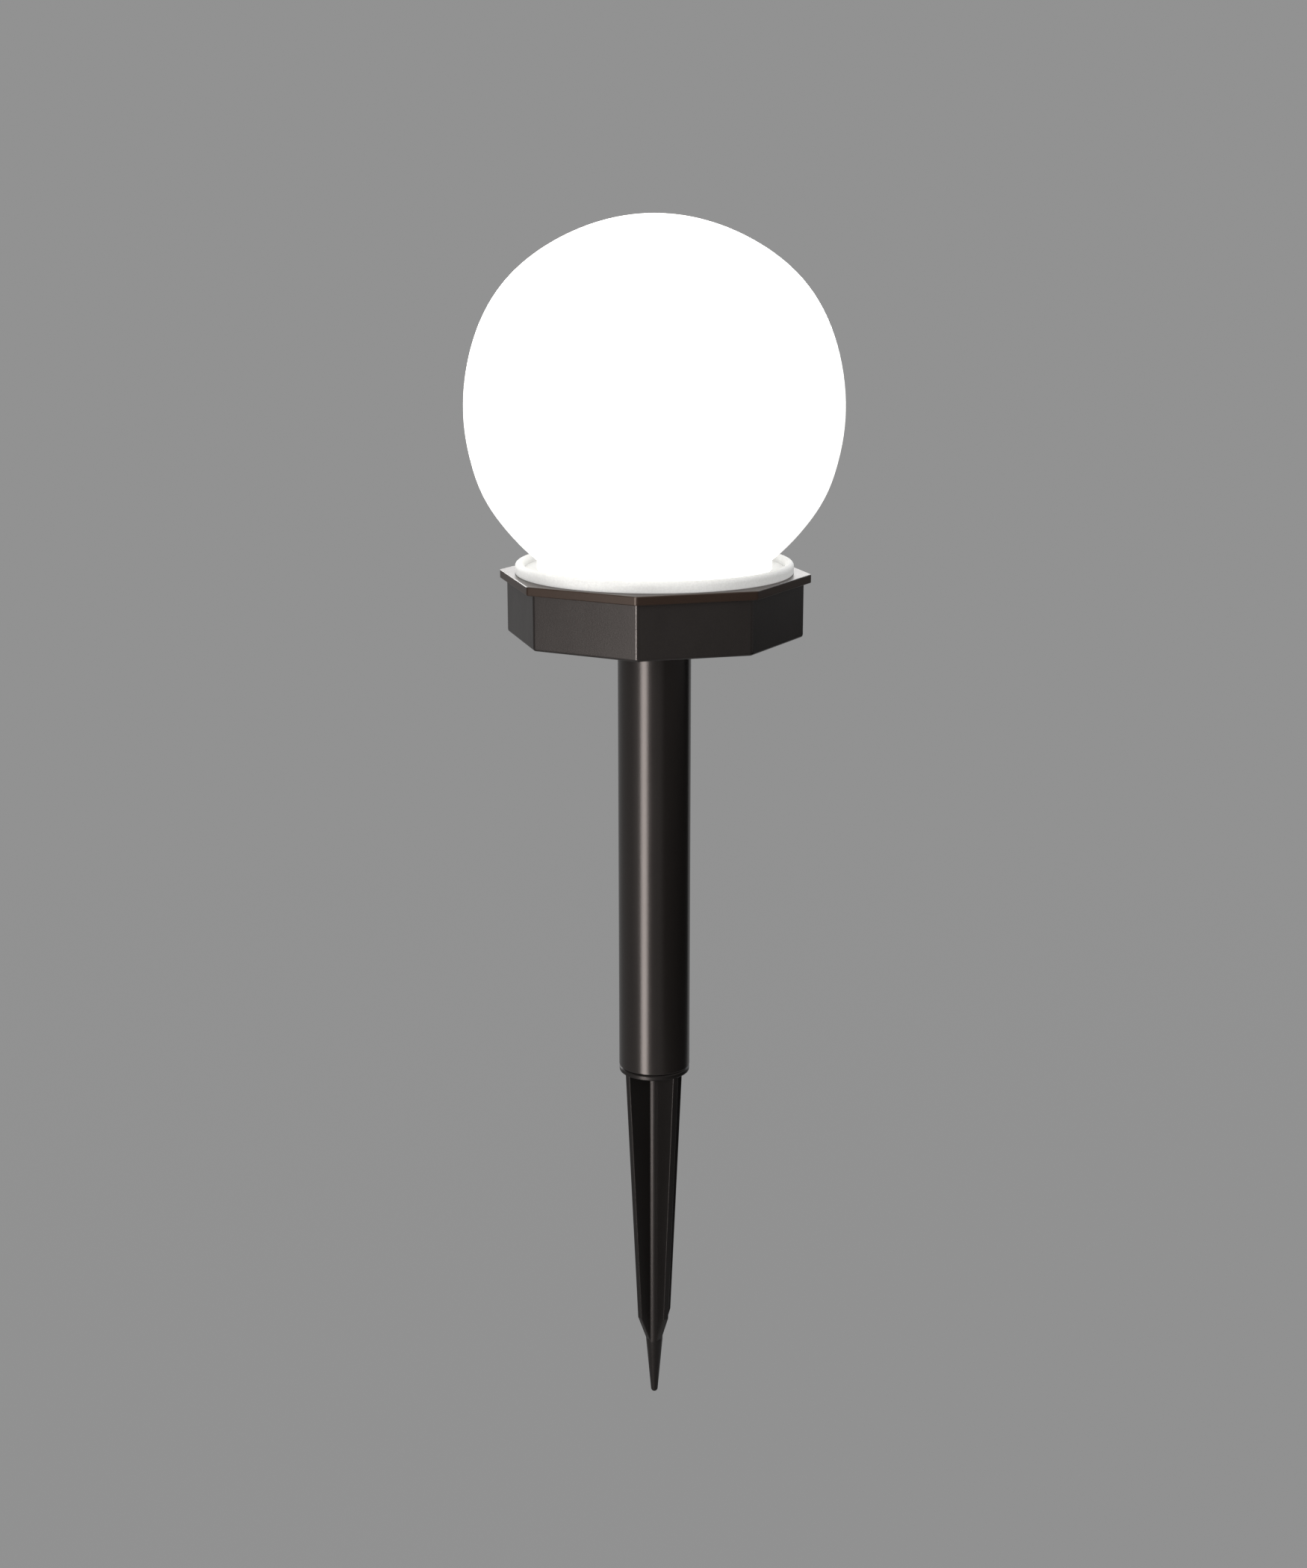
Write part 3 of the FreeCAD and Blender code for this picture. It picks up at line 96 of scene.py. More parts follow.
# Small parts on the boards
LEAD_SPACING = 2.6 * MM              # red lead to black lead
PAD_INSET = 1.5 * MM                 # leads inside the control board's long edges
LAMP_PAD_INSET = 3.9 * MM            # the same for the leads that go to the lamp board
BATTERY_PAD_INSET = 2.0 * MM         # leads inside its short edges
SWITCH_PAD_OFFSET = 5.4 * MM         # leads out from its middle
SWITCH_PIN_WIDTH = 1.2 * MM
CONTACT_LEAD_INSET = 0.96 * MM       # leads inside the battery contacts' outer faces
CONTACT_LEAD_DROP = 0.8 * MM         # and below their tops
LAMP_COUNT = 4
LAMP_FLANGE_RADIUS = 2.9 * MM
LAMP_LEAD_Y = -25.08 * MM            # where leads meet the lamp board
PANEL_LEAD_Y = 1.0 * MM              # and the panel
LAMP_LEG_SPACING = 2.54 * MM
PIN_PITCH = 1.27 * MM                # of the control chip
PINS_PER_SIDE = 4
CELL_COUNT = 4
CELL_SPACE = 0.8 * MM                # between two cells of the panel
PLATE_SKIN = 0.02 * MM               # depth in which a flat face is found by its height
SOLDER_SEGMENTS = 20


# ---------------------------------------------------------------- node helpers

def feed(tree, value, socket):
    """Links an output to a socket, or sets the socket's own value."""
    if isinstance(value, bpy.types.NodeSocket):
        tree.links.new(value, socket)
    else:
        socket.default_value = value


def add(tree, kind, sockets=None, **settings):
    node = tree.nodes.new(kind)
    for name, value in settings.items():
        setattr(node, name, value)
    for name, value in (sockets or {}).items():
        feed(tree, value, node.inputs[name])
    return node


def calculate(tree, operation, first, second=0.0):
    node = add(tree, "ShaderNodeMath", operation=operation)
    feed(tree, first, node.inputs[0])
    feed(tree, second, node.inputs[1])
    return node.outputs[0]


def plus(tree, first, second):
    return calculate(tree, "ADD", first, second)


def less(tree, first, second):
    return calculate(tree, "SUBTRACT", first, second)


def times(tree, first, second):
    return calculate(tree, "MULTIPLY", first, second)


def spread(tree, value, low, high, start=0.0, end=1.0):
    """Maps a value between start and end to between low and high."""
    node = add(tree, "ShaderNodeMapRange")
    feed(tree, value, node.inputs["Value"])
    for name, number in (("From Min", start), ("From Max", end), ("To Min", low), ("To Max", high)):
        feed(tree, number, node.inputs[name])
    return node.outputs[0]


def either(tree, *masks):
    """The highest of several masks."""
    highest = masks[0]
    for mask in masks[1:]:
        highest = calculate(tree, "MAXIMUM", highest, mask)
    return highest


def both(tree, first, second):
    """The overlap of two masks."""
    return times(tree, first, second)


def near(tree, value, middle, reach, blur=0.05 * MM):
    """Mask that is 1 within a reach of the middle and fades out over the blur."""
    away = calculate(tree, "ABSOLUTE", less(tree, value, middle))
    return spread(tree, away, 1.0, 0.0, reach, reach + blur)


def at_level(tree, z, level):
    """Mask of the flat faces at one height."""
    return near(tree, z, level, PLATE_SKIN)


def every(tree, value, pitch, reach, blur=0.03 * MM):
    """Mask of even stripes, a pitch apart."""
    wave = calculate(tree, "PINGPONG", value, pitch / 2)
    return spread(tree, wave, 1.0, 0.0, reach, reach + blur)


def mix_colours(tree, share, first, second):
    node = add(tree, "ShaderNodeMix", data_type="RGBA")
    feed(tree, share, node.inputs[0])
    for number, colour in ((6, first), (7, second)):
        feed(tree, (*colour, 1) if isinstance(colour, tuple) else colour, node.inputs[number])
    return node.outputs[2]


def object_place(tree, size=1.0):
    """Object coordinates, counted in steps of one size."""
    place = add(tree, "ShaderNodeTexCoord").outputs["Object"]
    scaled = add(tree, "ShaderNodeVectorMath", operation="SCALE")
    feed(tree, place, scaled.inputs[0])
    if isinstance(size, bpy.types.NodeSocket):
        feed(tree, calculate(tree, "DIVIDE", 1.0, size), scaled.inputs["Scale"])
    else:
        feed(tree, 1.0 / size, scaled.inputs["Scale"])
    return scaled.outputs[0]


def axes(tree):
    """Object X, Y and Z as three numbers."""
    return add(tree, "ShaderNodeSeparateXYZ", {"Vector": object_place(tree)}).outputs


def level_reach(tree, across, along):
    """Distance that two level offsets make together."""
    return calculate(tree, "SQRT", plus(tree, times(tree, across, across), times(tree, along, along)))


def stretched(tree, place, *scale):
    return add(tree, "ShaderNodeMapping", {"Vector": place, "Scale": scale}).outputs[0]


def noise(tree, place, scale=1.0, detail=2.0, roughness=0.5):
    sockets = {"Vector": place, "Scale": scale, "Detail": detail, "Roughness": roughness}
    return add(tree, "ShaderNodeTexNoise", sockets).outputs["Fac"]


def effect(name, inputs, outputs):
    """An empty shared effect with named numbers going in and coming out."""
    tree = bpy.data.node_groups.new(name, "ShaderNodeTree")
    for label, value in inputs.items():
        socket = tree.interface.new_socket(label, in_out="INPUT", socket_type="NodeSocketFloat")
        socket.default_value = value
    for label in outputs:
        tree.interface.new_socket(label, in_out="OUTPUT", socket_type="NodeSocketFloat")
    return tree, tree.nodes.new("NodeGroupInput"), tree.nodes.new("NodeGroupOutput")


def use(tree, group, **sockets):
    """Places a shared effect in a material. Socket names are written with underscores."""
    node = add(tree, "ShaderNodeGroup", node_tree=group)
    for name, value in sockets.items():
        feed(tree, value, node.inputs[name.replace("_", " ")])
    return node.outputs


# ---------------------------------------------------------------- shared effects

def make_moulded_grain():
    """Fine stipple that a spark-eroded mould leaves, and single specks in it."""
    tree, inside, outside = effect("moulded_grain", {"Grain size": 0.4 * MM}, ("Height", "Speck"))
    place = object_place(tree, inside.outputs["Grain size"])
    soft = noise(tree, place, 1.0, 3.0, 0.6)
    cells = add(tree, "ShaderNodeTexVoronoi", {"Vector": place, "Scale": 0.8}, feature="SMOOTH_F1")
    pits = spread(tree, cells.outputs["Distance"], 1.0, 0.0, 0.1, 0.7)
    height = plus(tree, times(tree, soft, 0.7), times(tree, pits, 0.3))
    feed(tree, height, outside.inputs["Height"])
    specks = noise(tree, place, 0.55, 1.0)
    feed(tree, spread(tree, specks, 0.0, 1.0, 0.35, 0.65), outside.inputs["Speck"])
    return tree


def make_broad_tone():
    """Slow drift of tone and gloss over a moulding, drawn out along its height."""
    tree, inside, outside = effect("broad_tone", {"Patch size": 30 * MM}, ("Tone", "Gloss"))
    place = object_place(tree, inside.outputs["Patch size"])
    feed(tree, noise(tree, place, 1.0, 2.0), outside.inputs["Tone"])
    streaks = noise(tree, stretched(tree, place, 1.6, 1.6, 0.8), 1.7, 3.0, 0.55)
    feed(tree, spread(tree, streaks, 0.0, 1.0, 0.3, 0.7), outside.inputs["Gloss"])
    return tree


def make_edge_wear_and_highlight():
    """Mask that is 1 on outer edges, where handling polishes them and where some finishes get a painted
    highlight.
    """
    tree, inside, outside = effect("edge_wear_and_highlight", {"Radius": 0.5 * MM}, ("Edge",))
    rounded = add(tree, "ShaderNodeBevel", {"Radius": inside.outputs["Radius"]}, samples=4)
    flat = add(tree, "ShaderNodeNewGeometry").outputs["Normal"]
    same = add(tree, "ShaderNodeVectorMath", operation="DOT_PRODUCT")
    feed(tree, rounded.outputs[0], same.inputs[0])
    feed(tree, flat, same.inputs[1])
    feed(tree, spread(tree, same.outputs["Value"], 1.0, 0.0, 0.80, 0.995), outside.inputs["Edge"])
    return tree


def make_rolled_metal():
    """Faint lines along X from rolling, and cloudy stains."""
    tree, inside, outside = effect("rolled_metal", {"Line size": 0.3 * MM}, ("Height", "Stain"))
    place = object_place(tree, inside.outputs["Line size"])
    lines = noise(tree, stretched(tree, place, 0.06, 1.0, 1.0), 1.0, 3.0, 0.6)
    feed(tree, lines, outside.inputs["Height"])
    stain = noise(tree, place, 0.12, 3.0, 0.6)
    feed(tree, spread(tree, stain, 0.0, 1.0, 0.35, 0.7), outside.inputs["Stain"])
    return tree


moulded_grain = make_moulded_grain()
broad_tone = make_broad_tone()
edge_wear_and_highlight = make_edge_wear_and_highlight()
rolled_metal = make_rolled_metal()


# ---------------------------------------------------------------- materials of the outside

def new_finish(name, metallic=0.0, ior=1.5):
    material = bpy.data.materials.new(name)
    material.use_nodes = True
    tree = material.node_tree
    shader = tree.nodes["Principled BSDF"]
    shader.inputs["Metallic"].default_value = metallic
    shader.inputs["IOR"].default_value = ior
    return material, tree, shader


def emboss(tree, shader, height, depth):
    """Raises the surface by a height of 0 to 1, times a depth."""
    bump = add(tree, "ShaderNodeBump", {"Height": height, "Distance": depth, "Strength": 1.0})
    feed(tree, bump.outputs[0], shader.inputs["Normal"])


BROWN_BLACK = (0.0072, 0.0061, 0.0056)
BROWN_BLACK_LIGHT = (0.0100, 0.0086, 0.0079)
# The lid's brown is partly its plastic's own colour and partly painted warm light from the globe.
LID_GLOW_WARMED_BROWN = (0.0128, 0.0068, 0.0042)
LID_GLOW_WARMED_BROWN_LIGHT = (0.0180, 0.0096, 0.0062)
SPIKE_BLACK = (0.0046, 0.0041, 0.0039)
SPIKE_BLACK_LIGHT = (0.0068, 0.0061, 0.0058)
# Pale brown put on the dark plastic's edges as a painted highlight.
PAINTED_EDGE_HIGHLIGHT = (0.050, 0.044, 0.041)
EDGE_POLISH = 0.2                    # how much smoother a rubbed edge is
WARM_SHEEN = (1.0, 0.90, 0.87, 1)
# The lid's sheen tint is warmed for the same painted light from the globe.
LID_GLOW_WARMED_SHEEN = (1.0, 0.84, 0.75, 1)
# The dish's colours are kept low; its painted glow lifts it to white.
DISH_WHITE = (0.39, 0.389, 0.381)
DISH_WHITE_LIGHT = (0.44, 0.439, 0.430)
DISH_WHITE_DULL = (0.38, 0.379, 0.370)
GLOBE_WHITE = (0.84, 0.83, 0.80)
GLOBE_WHITE_LIGHT = (0.88, 0.875, 0.85)


def light_up(tree, shader, colour, share, strength):
    """Glow of one colour, dimmed by a share that changes over the surface."""
    shade = add(tree, "ShaderNodeVectorMath", operation="SCALE")
    feed(tree, colour, shade.inputs[0])
    feed(tree, share, shade.inputs["Scale"])
    feed(tree, shade.outputs[0], shader.inputs["Emission Color"])
    shader.inputs["Emission Strength"].default_value = strength


def housing_corners(tree):
    """Mask that is 1 along the housing's eight upright corners, one of which is at -Y."""
    x, y, z = axes(tree)
    turn = calculate(tree, "ARCTAN2", x, y)
    apart = calculate(tree, "PINGPONG", turn, math.pi / HOUSING_SIDES)
    corner = spread(tree, apart, 1.0, 0.0, CORNER_REACH, 2 * CORNER_REACH)
    facing = add(tree, "ShaderNodeTexCoord").outputs["Normal"]
    parts = add(tree, "ShaderNodeSeparateXYZ", {"Vector": facing}).outputs
    rise = calculate(tree, "ABSOLUTE", parts["Z"])
    return both(tree, corner, spread(tree, rise, 1.0, 0.0, *UPRIGHT_RISE))


def dark_plastic(name, dark, light, gloss, grain_size, grain_depth, edge_highlight_share=0.15, ior=1.5,
                 corners=False, sheen=WARM_SHEEN):
    """Brown-black moulded plastic. Gloss is the roughness at its smoothest and roughest."""
    material, tree, shader = new_finish(name, ior=ior)
    grain = use(tree, moulded_grain, Grain_size=grain_size)
    drift = use(tree, broad_tone, Patch_size=38 * MM)
    edge = use(tree, edge_wear_and_highlight, Radius=0.5 * MM)["Edge"]
    tone = plus(tree, times(tree, drift["Tone"], 0.6), times(tree, grain["Speck"], 0.4))
    colour = mix_colours(tree, tone, dark, light)
    # Painted highlight: the edges are lightened towards a pale brown.
    colour = mix_colours(tree, times(tree, edge, edge_highlight_share), colour, PAINTED_EDGE_HIGHLIGHT)
    if corners:
        edge = either(tree, edge, housing_corners(tree))
    feed(tree, colour, shader.inputs["Base Color"])
    roughness = spread(tree, drift["Gloss"], *gloss)
    polish = times(tree, edge, EDGE_POLISH)
    feed(tree, less(tree, roughness, polish), shader.inputs["Roughness"])
    shader.inputs["Specular Tint"].default_value = sheen
    emboss(tree, shader, grain["Height"], grain_depth)
    return material


def white_dish_plastic():
    """Off-white plastic with a visible sandy grain, and a painted glow that evens out its shading."""
    material, tree, shader = new_finish("white_dish_plastic")
    grain = use(tree, moulded_grain, Grain_size=0.35 * MM)
    drift = use(tree, broad_tone, Patch_size=25 * MM)
    colour = mix_colours(tree, grain["Speck"], DISH_WHITE, DISH_WHITE_LIGHT)
    colour = mix_colours(tree, times(tree, drift["Tone"], 0.1), colour, DISH_WHITE_DULL)
    feed(tree, colour, shader.inputs["Base Color"])
    feed(tree, spread(tree, drift["Gloss"], 0.55, 0.68), shader.inputs["Roughness"])
    shader.inputs["Subsurface Weight"].default_value = 0.7
    shader.inputs["Subsurface Radius"].default_value = (1.0, 0.97, 0.93)
    shader.inputs["Subsurface Scale"].default_value = 3.0 * MM
    # Painted glow: the dish shines by itself, less on the wall's inner side.
    x, y, z = axes(tree)
    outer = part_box("globe_dish")[1].x
    fade = [outer - depth for depth in DISH_PAINTED_GLOW_DEPTH]
    share = spread(tree, level_reach(tree, x, y), DISH_PAINTED_GLOW_INNER_SHARE, 1.0, *fade)
    light_up(tree, shader, (1.0, 0.995, 0.975), share, DISH_PAINTED_GLOW)
    emboss(tree, shader, grain["Height"], 0.06 * MM)
    return material


def lit_globe_plastic():
    """White translucent shade, lit from inside. The hub keeps some of the light from its neck."""
    material, tree, shader = new_finish("lit_globe_plastic")
    drift = use(tree, broad_tone, Patch_size=20 * MM)
    hub_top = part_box("globe_dish")[1].z
    fade = [hub_top + height for height in NECK_FADE]
    glow = spread(tree, axes(tree)["Z"], NECK_GLOW, 1.0, *fade)
    glow = times(tree, glow, spread(tree, drift["Tone"], 0.98, 1.02))
    warm = mix_colours(tree, drift["Tone"], (1.0, 0.985, 0.955), (1.0, 0.99, 0.965))
    light_up(tree, shader, warm, glow, GLOBE_GLOW)
    white = mix_colours(tree, drift["Tone"], GLOBE_WHITE, GLOBE_WHITE_LIGHT)
    feed(tree, white, shader.inputs["Base Color"])
    feed(tree, spread(tree, drift["Gloss"], 0.28, 0.36), shader.inputs["Roughness"])
    return material


# ---------------------------------------------------------------- materials of the inside

def small_moulding(name, dark, light, gloss, grain_size=0.3 * MM, grain_depth=0.01 * MM):
    """A small piece's finish: two near tones, drifting gloss, a fine grain and paler edges."""
    material, tree, shader = new_finish(name)
    grain = use(tree, moulded_grain, Grain_size=grain_size)
    drift = use(tree, broad_tone, Patch_size=6 * MM)
    edge = use(tree, edge_wear_and_highlight, Radius=0.15 * MM)["Edge"]
    tone = times(tree, plus(tree, drift["Tone"], grain["Speck"]), 0.5)
    tone = either(tree, tone, edge)
    feed(tree, mix_colours(tree, tone, dark, light), shader.inputs["Base Color"])
    feed(tree, spread(tree, drift["Gloss"], *gloss), shader.inputs["Roughness"])
    emboss(tree, shader, grain["Height"], grain_depth)
    return material


def plated_metal(name, clean, stained, gloss, line_size=0.3 * MM, line_depth=0.006 * MM):
    """Plated or rolled metal with faint stains, rougher where it is stained."""
    material, tree, shader = new_finish(name, metallic=1.0)
    sheet = use(tree, rolled_metal, Line_size=line_size)
    edge = use(tree, edge_wear_and_highlight, Radius=0.1 * MM)["Edge"]
    stain = both(tree, sheet["Stain"], less(tree, 1.0, edge))
    feed(tree, mix_colours(tree, stain, clean, stained), shader.inputs["Base Color"])
    feed(tree, spread(tree, stain, *gloss), shader.inputs["Roughness"])
    emboss(tree, shader, sheet["Height"], line_depth)
    return material


def green_board(name, board, pitch):
    """Green lacquer over copper tracks on a grid, with the glass cloth's weave just showing."""
    material, tree, shader = new_finish(name)
    x, y, z = axes(tree)
    low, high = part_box(board)
    wander = noise(tree, object_place(tree, 9 * MM), 1.0, 0.0)
    runs_long = spread(tree, wander, 0.0, 1.0, 0.48, 0.5)
    runs_across = spread(tree, wander, 1.0, 0.0, 0.44, 0.46)
    wide, narrow, pad = 0.14 * pitch, 0.10 * pitch, 0.2 * pitch
    long_tracks = both(tree, every(tree, y, pitch, wide), runs_long)
    cross_tracks = both(tree, every(tree, x, 2 * pitch, narrow), runs_across)
    holes = both(tree, every(tree, x, 2 * pitch, pad), every(tree, y, 3 * pitch, pad))
    faces = either(tree, at_level(tree, z, low.z), at_level(tree, z, high.z))
    track = both(tree, either(tree, long_tracks, cross_tracks, holes), faces)
    thread_pitch, thread = 0.5 * MM, 0.1 * MM
    threads = [every(tree, way, thread_pitch, thread, thread) for way in (x, y)]
    weave = times(tree, either(tree, *threads), 0.25)
    bare, over_thread = (0.010, 0.090, 0.036), (0.016, 0.115, 0.048)
    over_copper, sawn_edge = (0.028, 0.185, 0.070), (0.42, 0.38, 0.20)
    lacquer = mix_colours(tree, weave, bare, over_thread)
    lacquer = mix_colours(tree, track, lacquer, over_copper)
    feed(tree, mix_colours(tree, faces, sawn_edge, lacquer), shader.inputs["Base Color"])
    feed(tree, spread(tree, weave, 0.24, 0.34), shader.inputs["Roughness"])
    emboss(tree, shader, either(tree, track, weave), 0.03 * MM)
    return material


def blue_solar_cell():
    """Dark blue crystal flakes, silver fingers across each strip and a busbar down its middle."""
    material, tree, shader = new_finish("blue_solar_cell")
    x, y, z = axes(tree)
    low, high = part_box("solar_cells")
    strip = (high.x - low.x + CELL_SPACE) / CELL_COUNT
    dark_flake, light_flake = (0.006, 0.012, 0.055), (0.016, 0.034, 0.120)
    silver_paste = (0.60, 0.61, 0.62)
    flake_size, finger_pitch, finger, busbar = 3.2 * MM, 1.5 * MM, 0.05 * MM, 0.35 * MM
    place = object_place(tree, flake_size)
    flakes = add(tree, "ShaderNodeTexVoronoi", {"Vector": place, "Randomness": 1.0})
    flake = add(tree, "ShaderNodeSeparateColor", {"Color": flakes.outputs["Color"]}).outputs[0]
    colour = mix_colours(tree, flake, dark_flake, light_flake)
    fingers = every(tree, y, finger_pitch, finger)
    from_edge = calculate(tree, "PINGPONG", less(tree, x, low.x), strip / 2)
    busbars = near(tree, from_edge, strip / 2, busbar)
    silver = either(tree, fingers, busbars)
    feed(tree, mix_colours(tree, silver, colour, silver_paste), shader.inputs["Base Color"])
    feed(tree, silver, shader.inputs["Metallic"])
    feed(tree, spread(tree, flake, 0.22, 0.36), shader.inputs["Roughness"])
    emboss(tree, shader, silver, 0.02 * MM)
    return material


def clear_plastic(name, tint, gloss, ripple):
    """Clear resin with a slightly uneven skin."""
    material, tree, shader = new_finish(name)
    shader.inputs["Transmission Weight"].default_value = 1.0
    drift = use(tree, broad_tone, Patch_size=12 * MM)
    feed(tree, mix_colours(tree, drift["Tone"], tint, (1.0, 1.0, 1.0)), shader.inputs["Base Color"])
    feed(tree, spread(tree, drift["Gloss"], *gloss), shader.inputs["Roughness"])
    emboss(tree, shader, drift["Tone"], ripple)
    return material


def lit_phosphor():
    """Yellow phosphor over the lamp's chip, glowing warm white."""
    material, tree, shader = new_finish("lit_phosphor")
    grain = use(tree, moulded_grain, Grain_size=0.1 * MM)
    yellow = mix_colours(tree, grain["Speck"], (0.85, 0.62, 0.10), (0.90, 0.72, 0.20))
    warm_white = mix_colours(tree, grain["Speck"], (1.0, 0.86, 0.62), (1.0, 0.92, 0.74))
    feed(tree, yellow, shader.inputs["Base Color"])
    feed(tree, warm_white, shader.inputs["Emission Color"])
    shader.inputs["Emission Strength"].default_value = PHOSPHOR_GLOW
    feed(tree, spread(tree, grain["Speck"], 0.4, 0.6), shader.inputs["Roughness"])
    return material


def white_foam():
    """Closed-cell foam tape, with its cut pores, their hollows darkened by painted shade."""
    material, tree, shader = new_finish("white_foam")
    place = object_place(tree, 0.35 * MM)
    pores = add(tree, "ShaderNodeTexVoronoi", {"Vector": place}, feature="DISTANCE_TO_EDGE")
    wall = spread(tree, pores.outputs["Distance"], 1.0, 0.0, 0.02, 0.2)
    # Painted shade: the pores' hollows are darker than the cell walls between them.
    white = mix_colours(tree, wall, (0.55, 0.55, 0.53), (0.80, 0.80, 0.78))
    feed(tree, white, shader.inputs["Base Color"])
    feed(tree, spread(tree, wall, 0.9, 0.75), shader.inputs["Roughness"])
    emboss(tree, shader, wall, 0.08 * MM)
    return material


def battery_sleeve():
    """Green shrink sleeve with a pale band, over a nickel can that shows at both ends."""
    material, tree, shader = new_finish("battery_sleeve_green")
    x = axes(tree)["X"]
    low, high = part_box("battery")
    middle = (low.x + high.x) / 2
    nickel_can, pale_print = (0.66, 0.64, 0.60), (0.72, 0.74, 0.70)
    bare_end, sleeve_shift = 1.6 * MM, 0.5 * MM
    band_offset, band_reach = 13 * MM, 3 * MM
    sleeve = near(tree, x, middle - sleeve_shift, (high.x - low.x) / 2 - bare_end)
    drift = use(tree, broad_tone, Patch_size=9 * MM)
    green = mix_colours(tree, drift["Tone"], (0.018, 0.150, 0.052), (0.026, 0.190, 0.070))
    band = near(tree, x, middle - band_offset, band_reach)
    printed = mix_colours(tree, band, green, pale_print)
    feed(tree, mix_colours(tree, sleeve, nickel_can, printed), shader.inputs["Base Color"])
    feed(tree, less(tree, 1.0, sleeve), shader.inputs["Metallic"])
    feed(tree, spread(tree, drift["Gloss"], 0.22, 0.34), shader.inputs["Roughness"])
    wrinkles = noise(tree, stretched(tree, object_place(tree, 1 * MM), 0.15, 1.0, 1.0), 1.0, 2.0)
    emboss(tree, shader, both(tree, sleeve, wrinkles), 0.02 * MM)
    return material


def ringed_coil():
    """Green lacquered inductor with four colour rings."""
    material, tree, shader = new_finish("ringed_coil_green")
    x = axes(tree)["X"]
    low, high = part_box("storage_coil")
    step = (high.x - low.x) / 6
    lacquer = use(tree, broad_tone, Patch_size=2 * MM)
    colour = mix_colours(tree, lacquer["Tone"], (0.10, 0.30, 0.19), (0.14, 0.38, 0.25))
    brown, black, gold = (0.20, 0.075, 0.02), (0.01, 0.01, 0.01), (0.55, 0.40, 0.12)
    for number, ring in enumerate((brown, black, brown, gold)):
        mask = near(tree, x, low.x + (number + 1.5) * step, 0.22 * step, 0.05 * MM)
        colour = mix_colours(tree, mask, colour, ring)
    feed(tree, colour, shader.inputs["Base Color"])
    feed(tree, spread(tree, lacquer["Gloss"], 0.2, 0.3), shader.inputs["Roughness"])
    emboss(tree, shader, lacquer["Tone"], 0.05 * MM)
    return material


def sleeved_capacitor():
    """Dark sleeve with a pale stripe for the negative leg, and a scored aluminium top."""
    material, tree, shader = new_finish("capacitor_sleeve")
    x, y, z = axes(tree)
    low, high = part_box("buffer_capacitor")
    middle = (low + high) / 2
    radius = (high.x - low.x) / 2
    across = less(tree, x, middle.x)
    along = less(tree, y, middle.y)
    pale_stripe, aluminium, score_shade = (0.45, 0.46, 0.47), (0.70, 0.70, 0.71), (0.25, 0.25, 0.26)
    top_radius, stripe_reach = 0.82 * radius, 0.25 * radius
    stripe_rise, score_reach = 1.9 * MM, 0.05 * MM
    reach = level_reach(tree, across, along)
    top = both(tree, at_level(tree, z, high.z), near(tree, reach, 0.0, top_radius))
    stripe = both(tree, near(tree, x, high.x, stripe_reach), near(tree, z, middle.z, stripe_rise))
    cross = [near(tree, offset, 0.0, score_reach) for offset in (across, along)]
    scores = both(tree, top, either(tree, *cross))
    drift = use(tree, broad_tone, Patch_size=3 * MM)
    sleeve = mix_colours(tree, drift["Tone"], (0.010, 0.012, 0.024), (0.016, 0.018, 0.034))
    colour = mix_colours(tree, stripe, sleeve, pale_stripe)
    colour = mix_colours(tree, top, colour, aluminium)
    feed(tree, mix_colours(tree, scores, colour, score_shade), shader.inputs["Base Color"])
    feed(tree, top, shader.inputs["Metallic"])
    feed(tree, spread(tree, drift["Gloss"], 0.25, 0.35), shader.inputs["Roughness"])
    emboss(tree, shader, less(tree, 1.0, scores), 0.06 * MM)
    return material


def chip_epoxy():
    """Matt black epoxy with a round mark at the first pin."""
    material, tree, shader = new_finish("chip_epoxy")
    x, y, z = axes(tree)
    low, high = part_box("control_chip")
    grain = use(tree, moulded_grain, Grain_size=0.12 * MM)
    mark_inset, mark_radius, mark_black = 0.8 * MM, 0.35 * MM, (0.008, 0.008, 0.008)
    across = less(tree, x, low.x + mark_inset)
    along = less(tree, y, low.y + mark_inset)
    mark = near(tree, level_reach(tree, across, along), 0.0, mark_radius)
    mark = both(tree, mark, at_level(tree, z, high.z))
    colour = mix_colours(tree, grain["Speck"], (0.016, 0.016, 0.017), (0.026, 0.026, 0.027))
    feed(tree, mix_colours(tree, mark, colour, mark_black), shader.inputs["Base Color"])
    feed(tree, spread(tree, mark, 0.6, 0.25), shader.inputs["Roughness"])
    height = less(tree, times(tree, grain["Height"], 0.3), mark)
    emboss(tree, shader, height, 0.05 * MM)
    return material


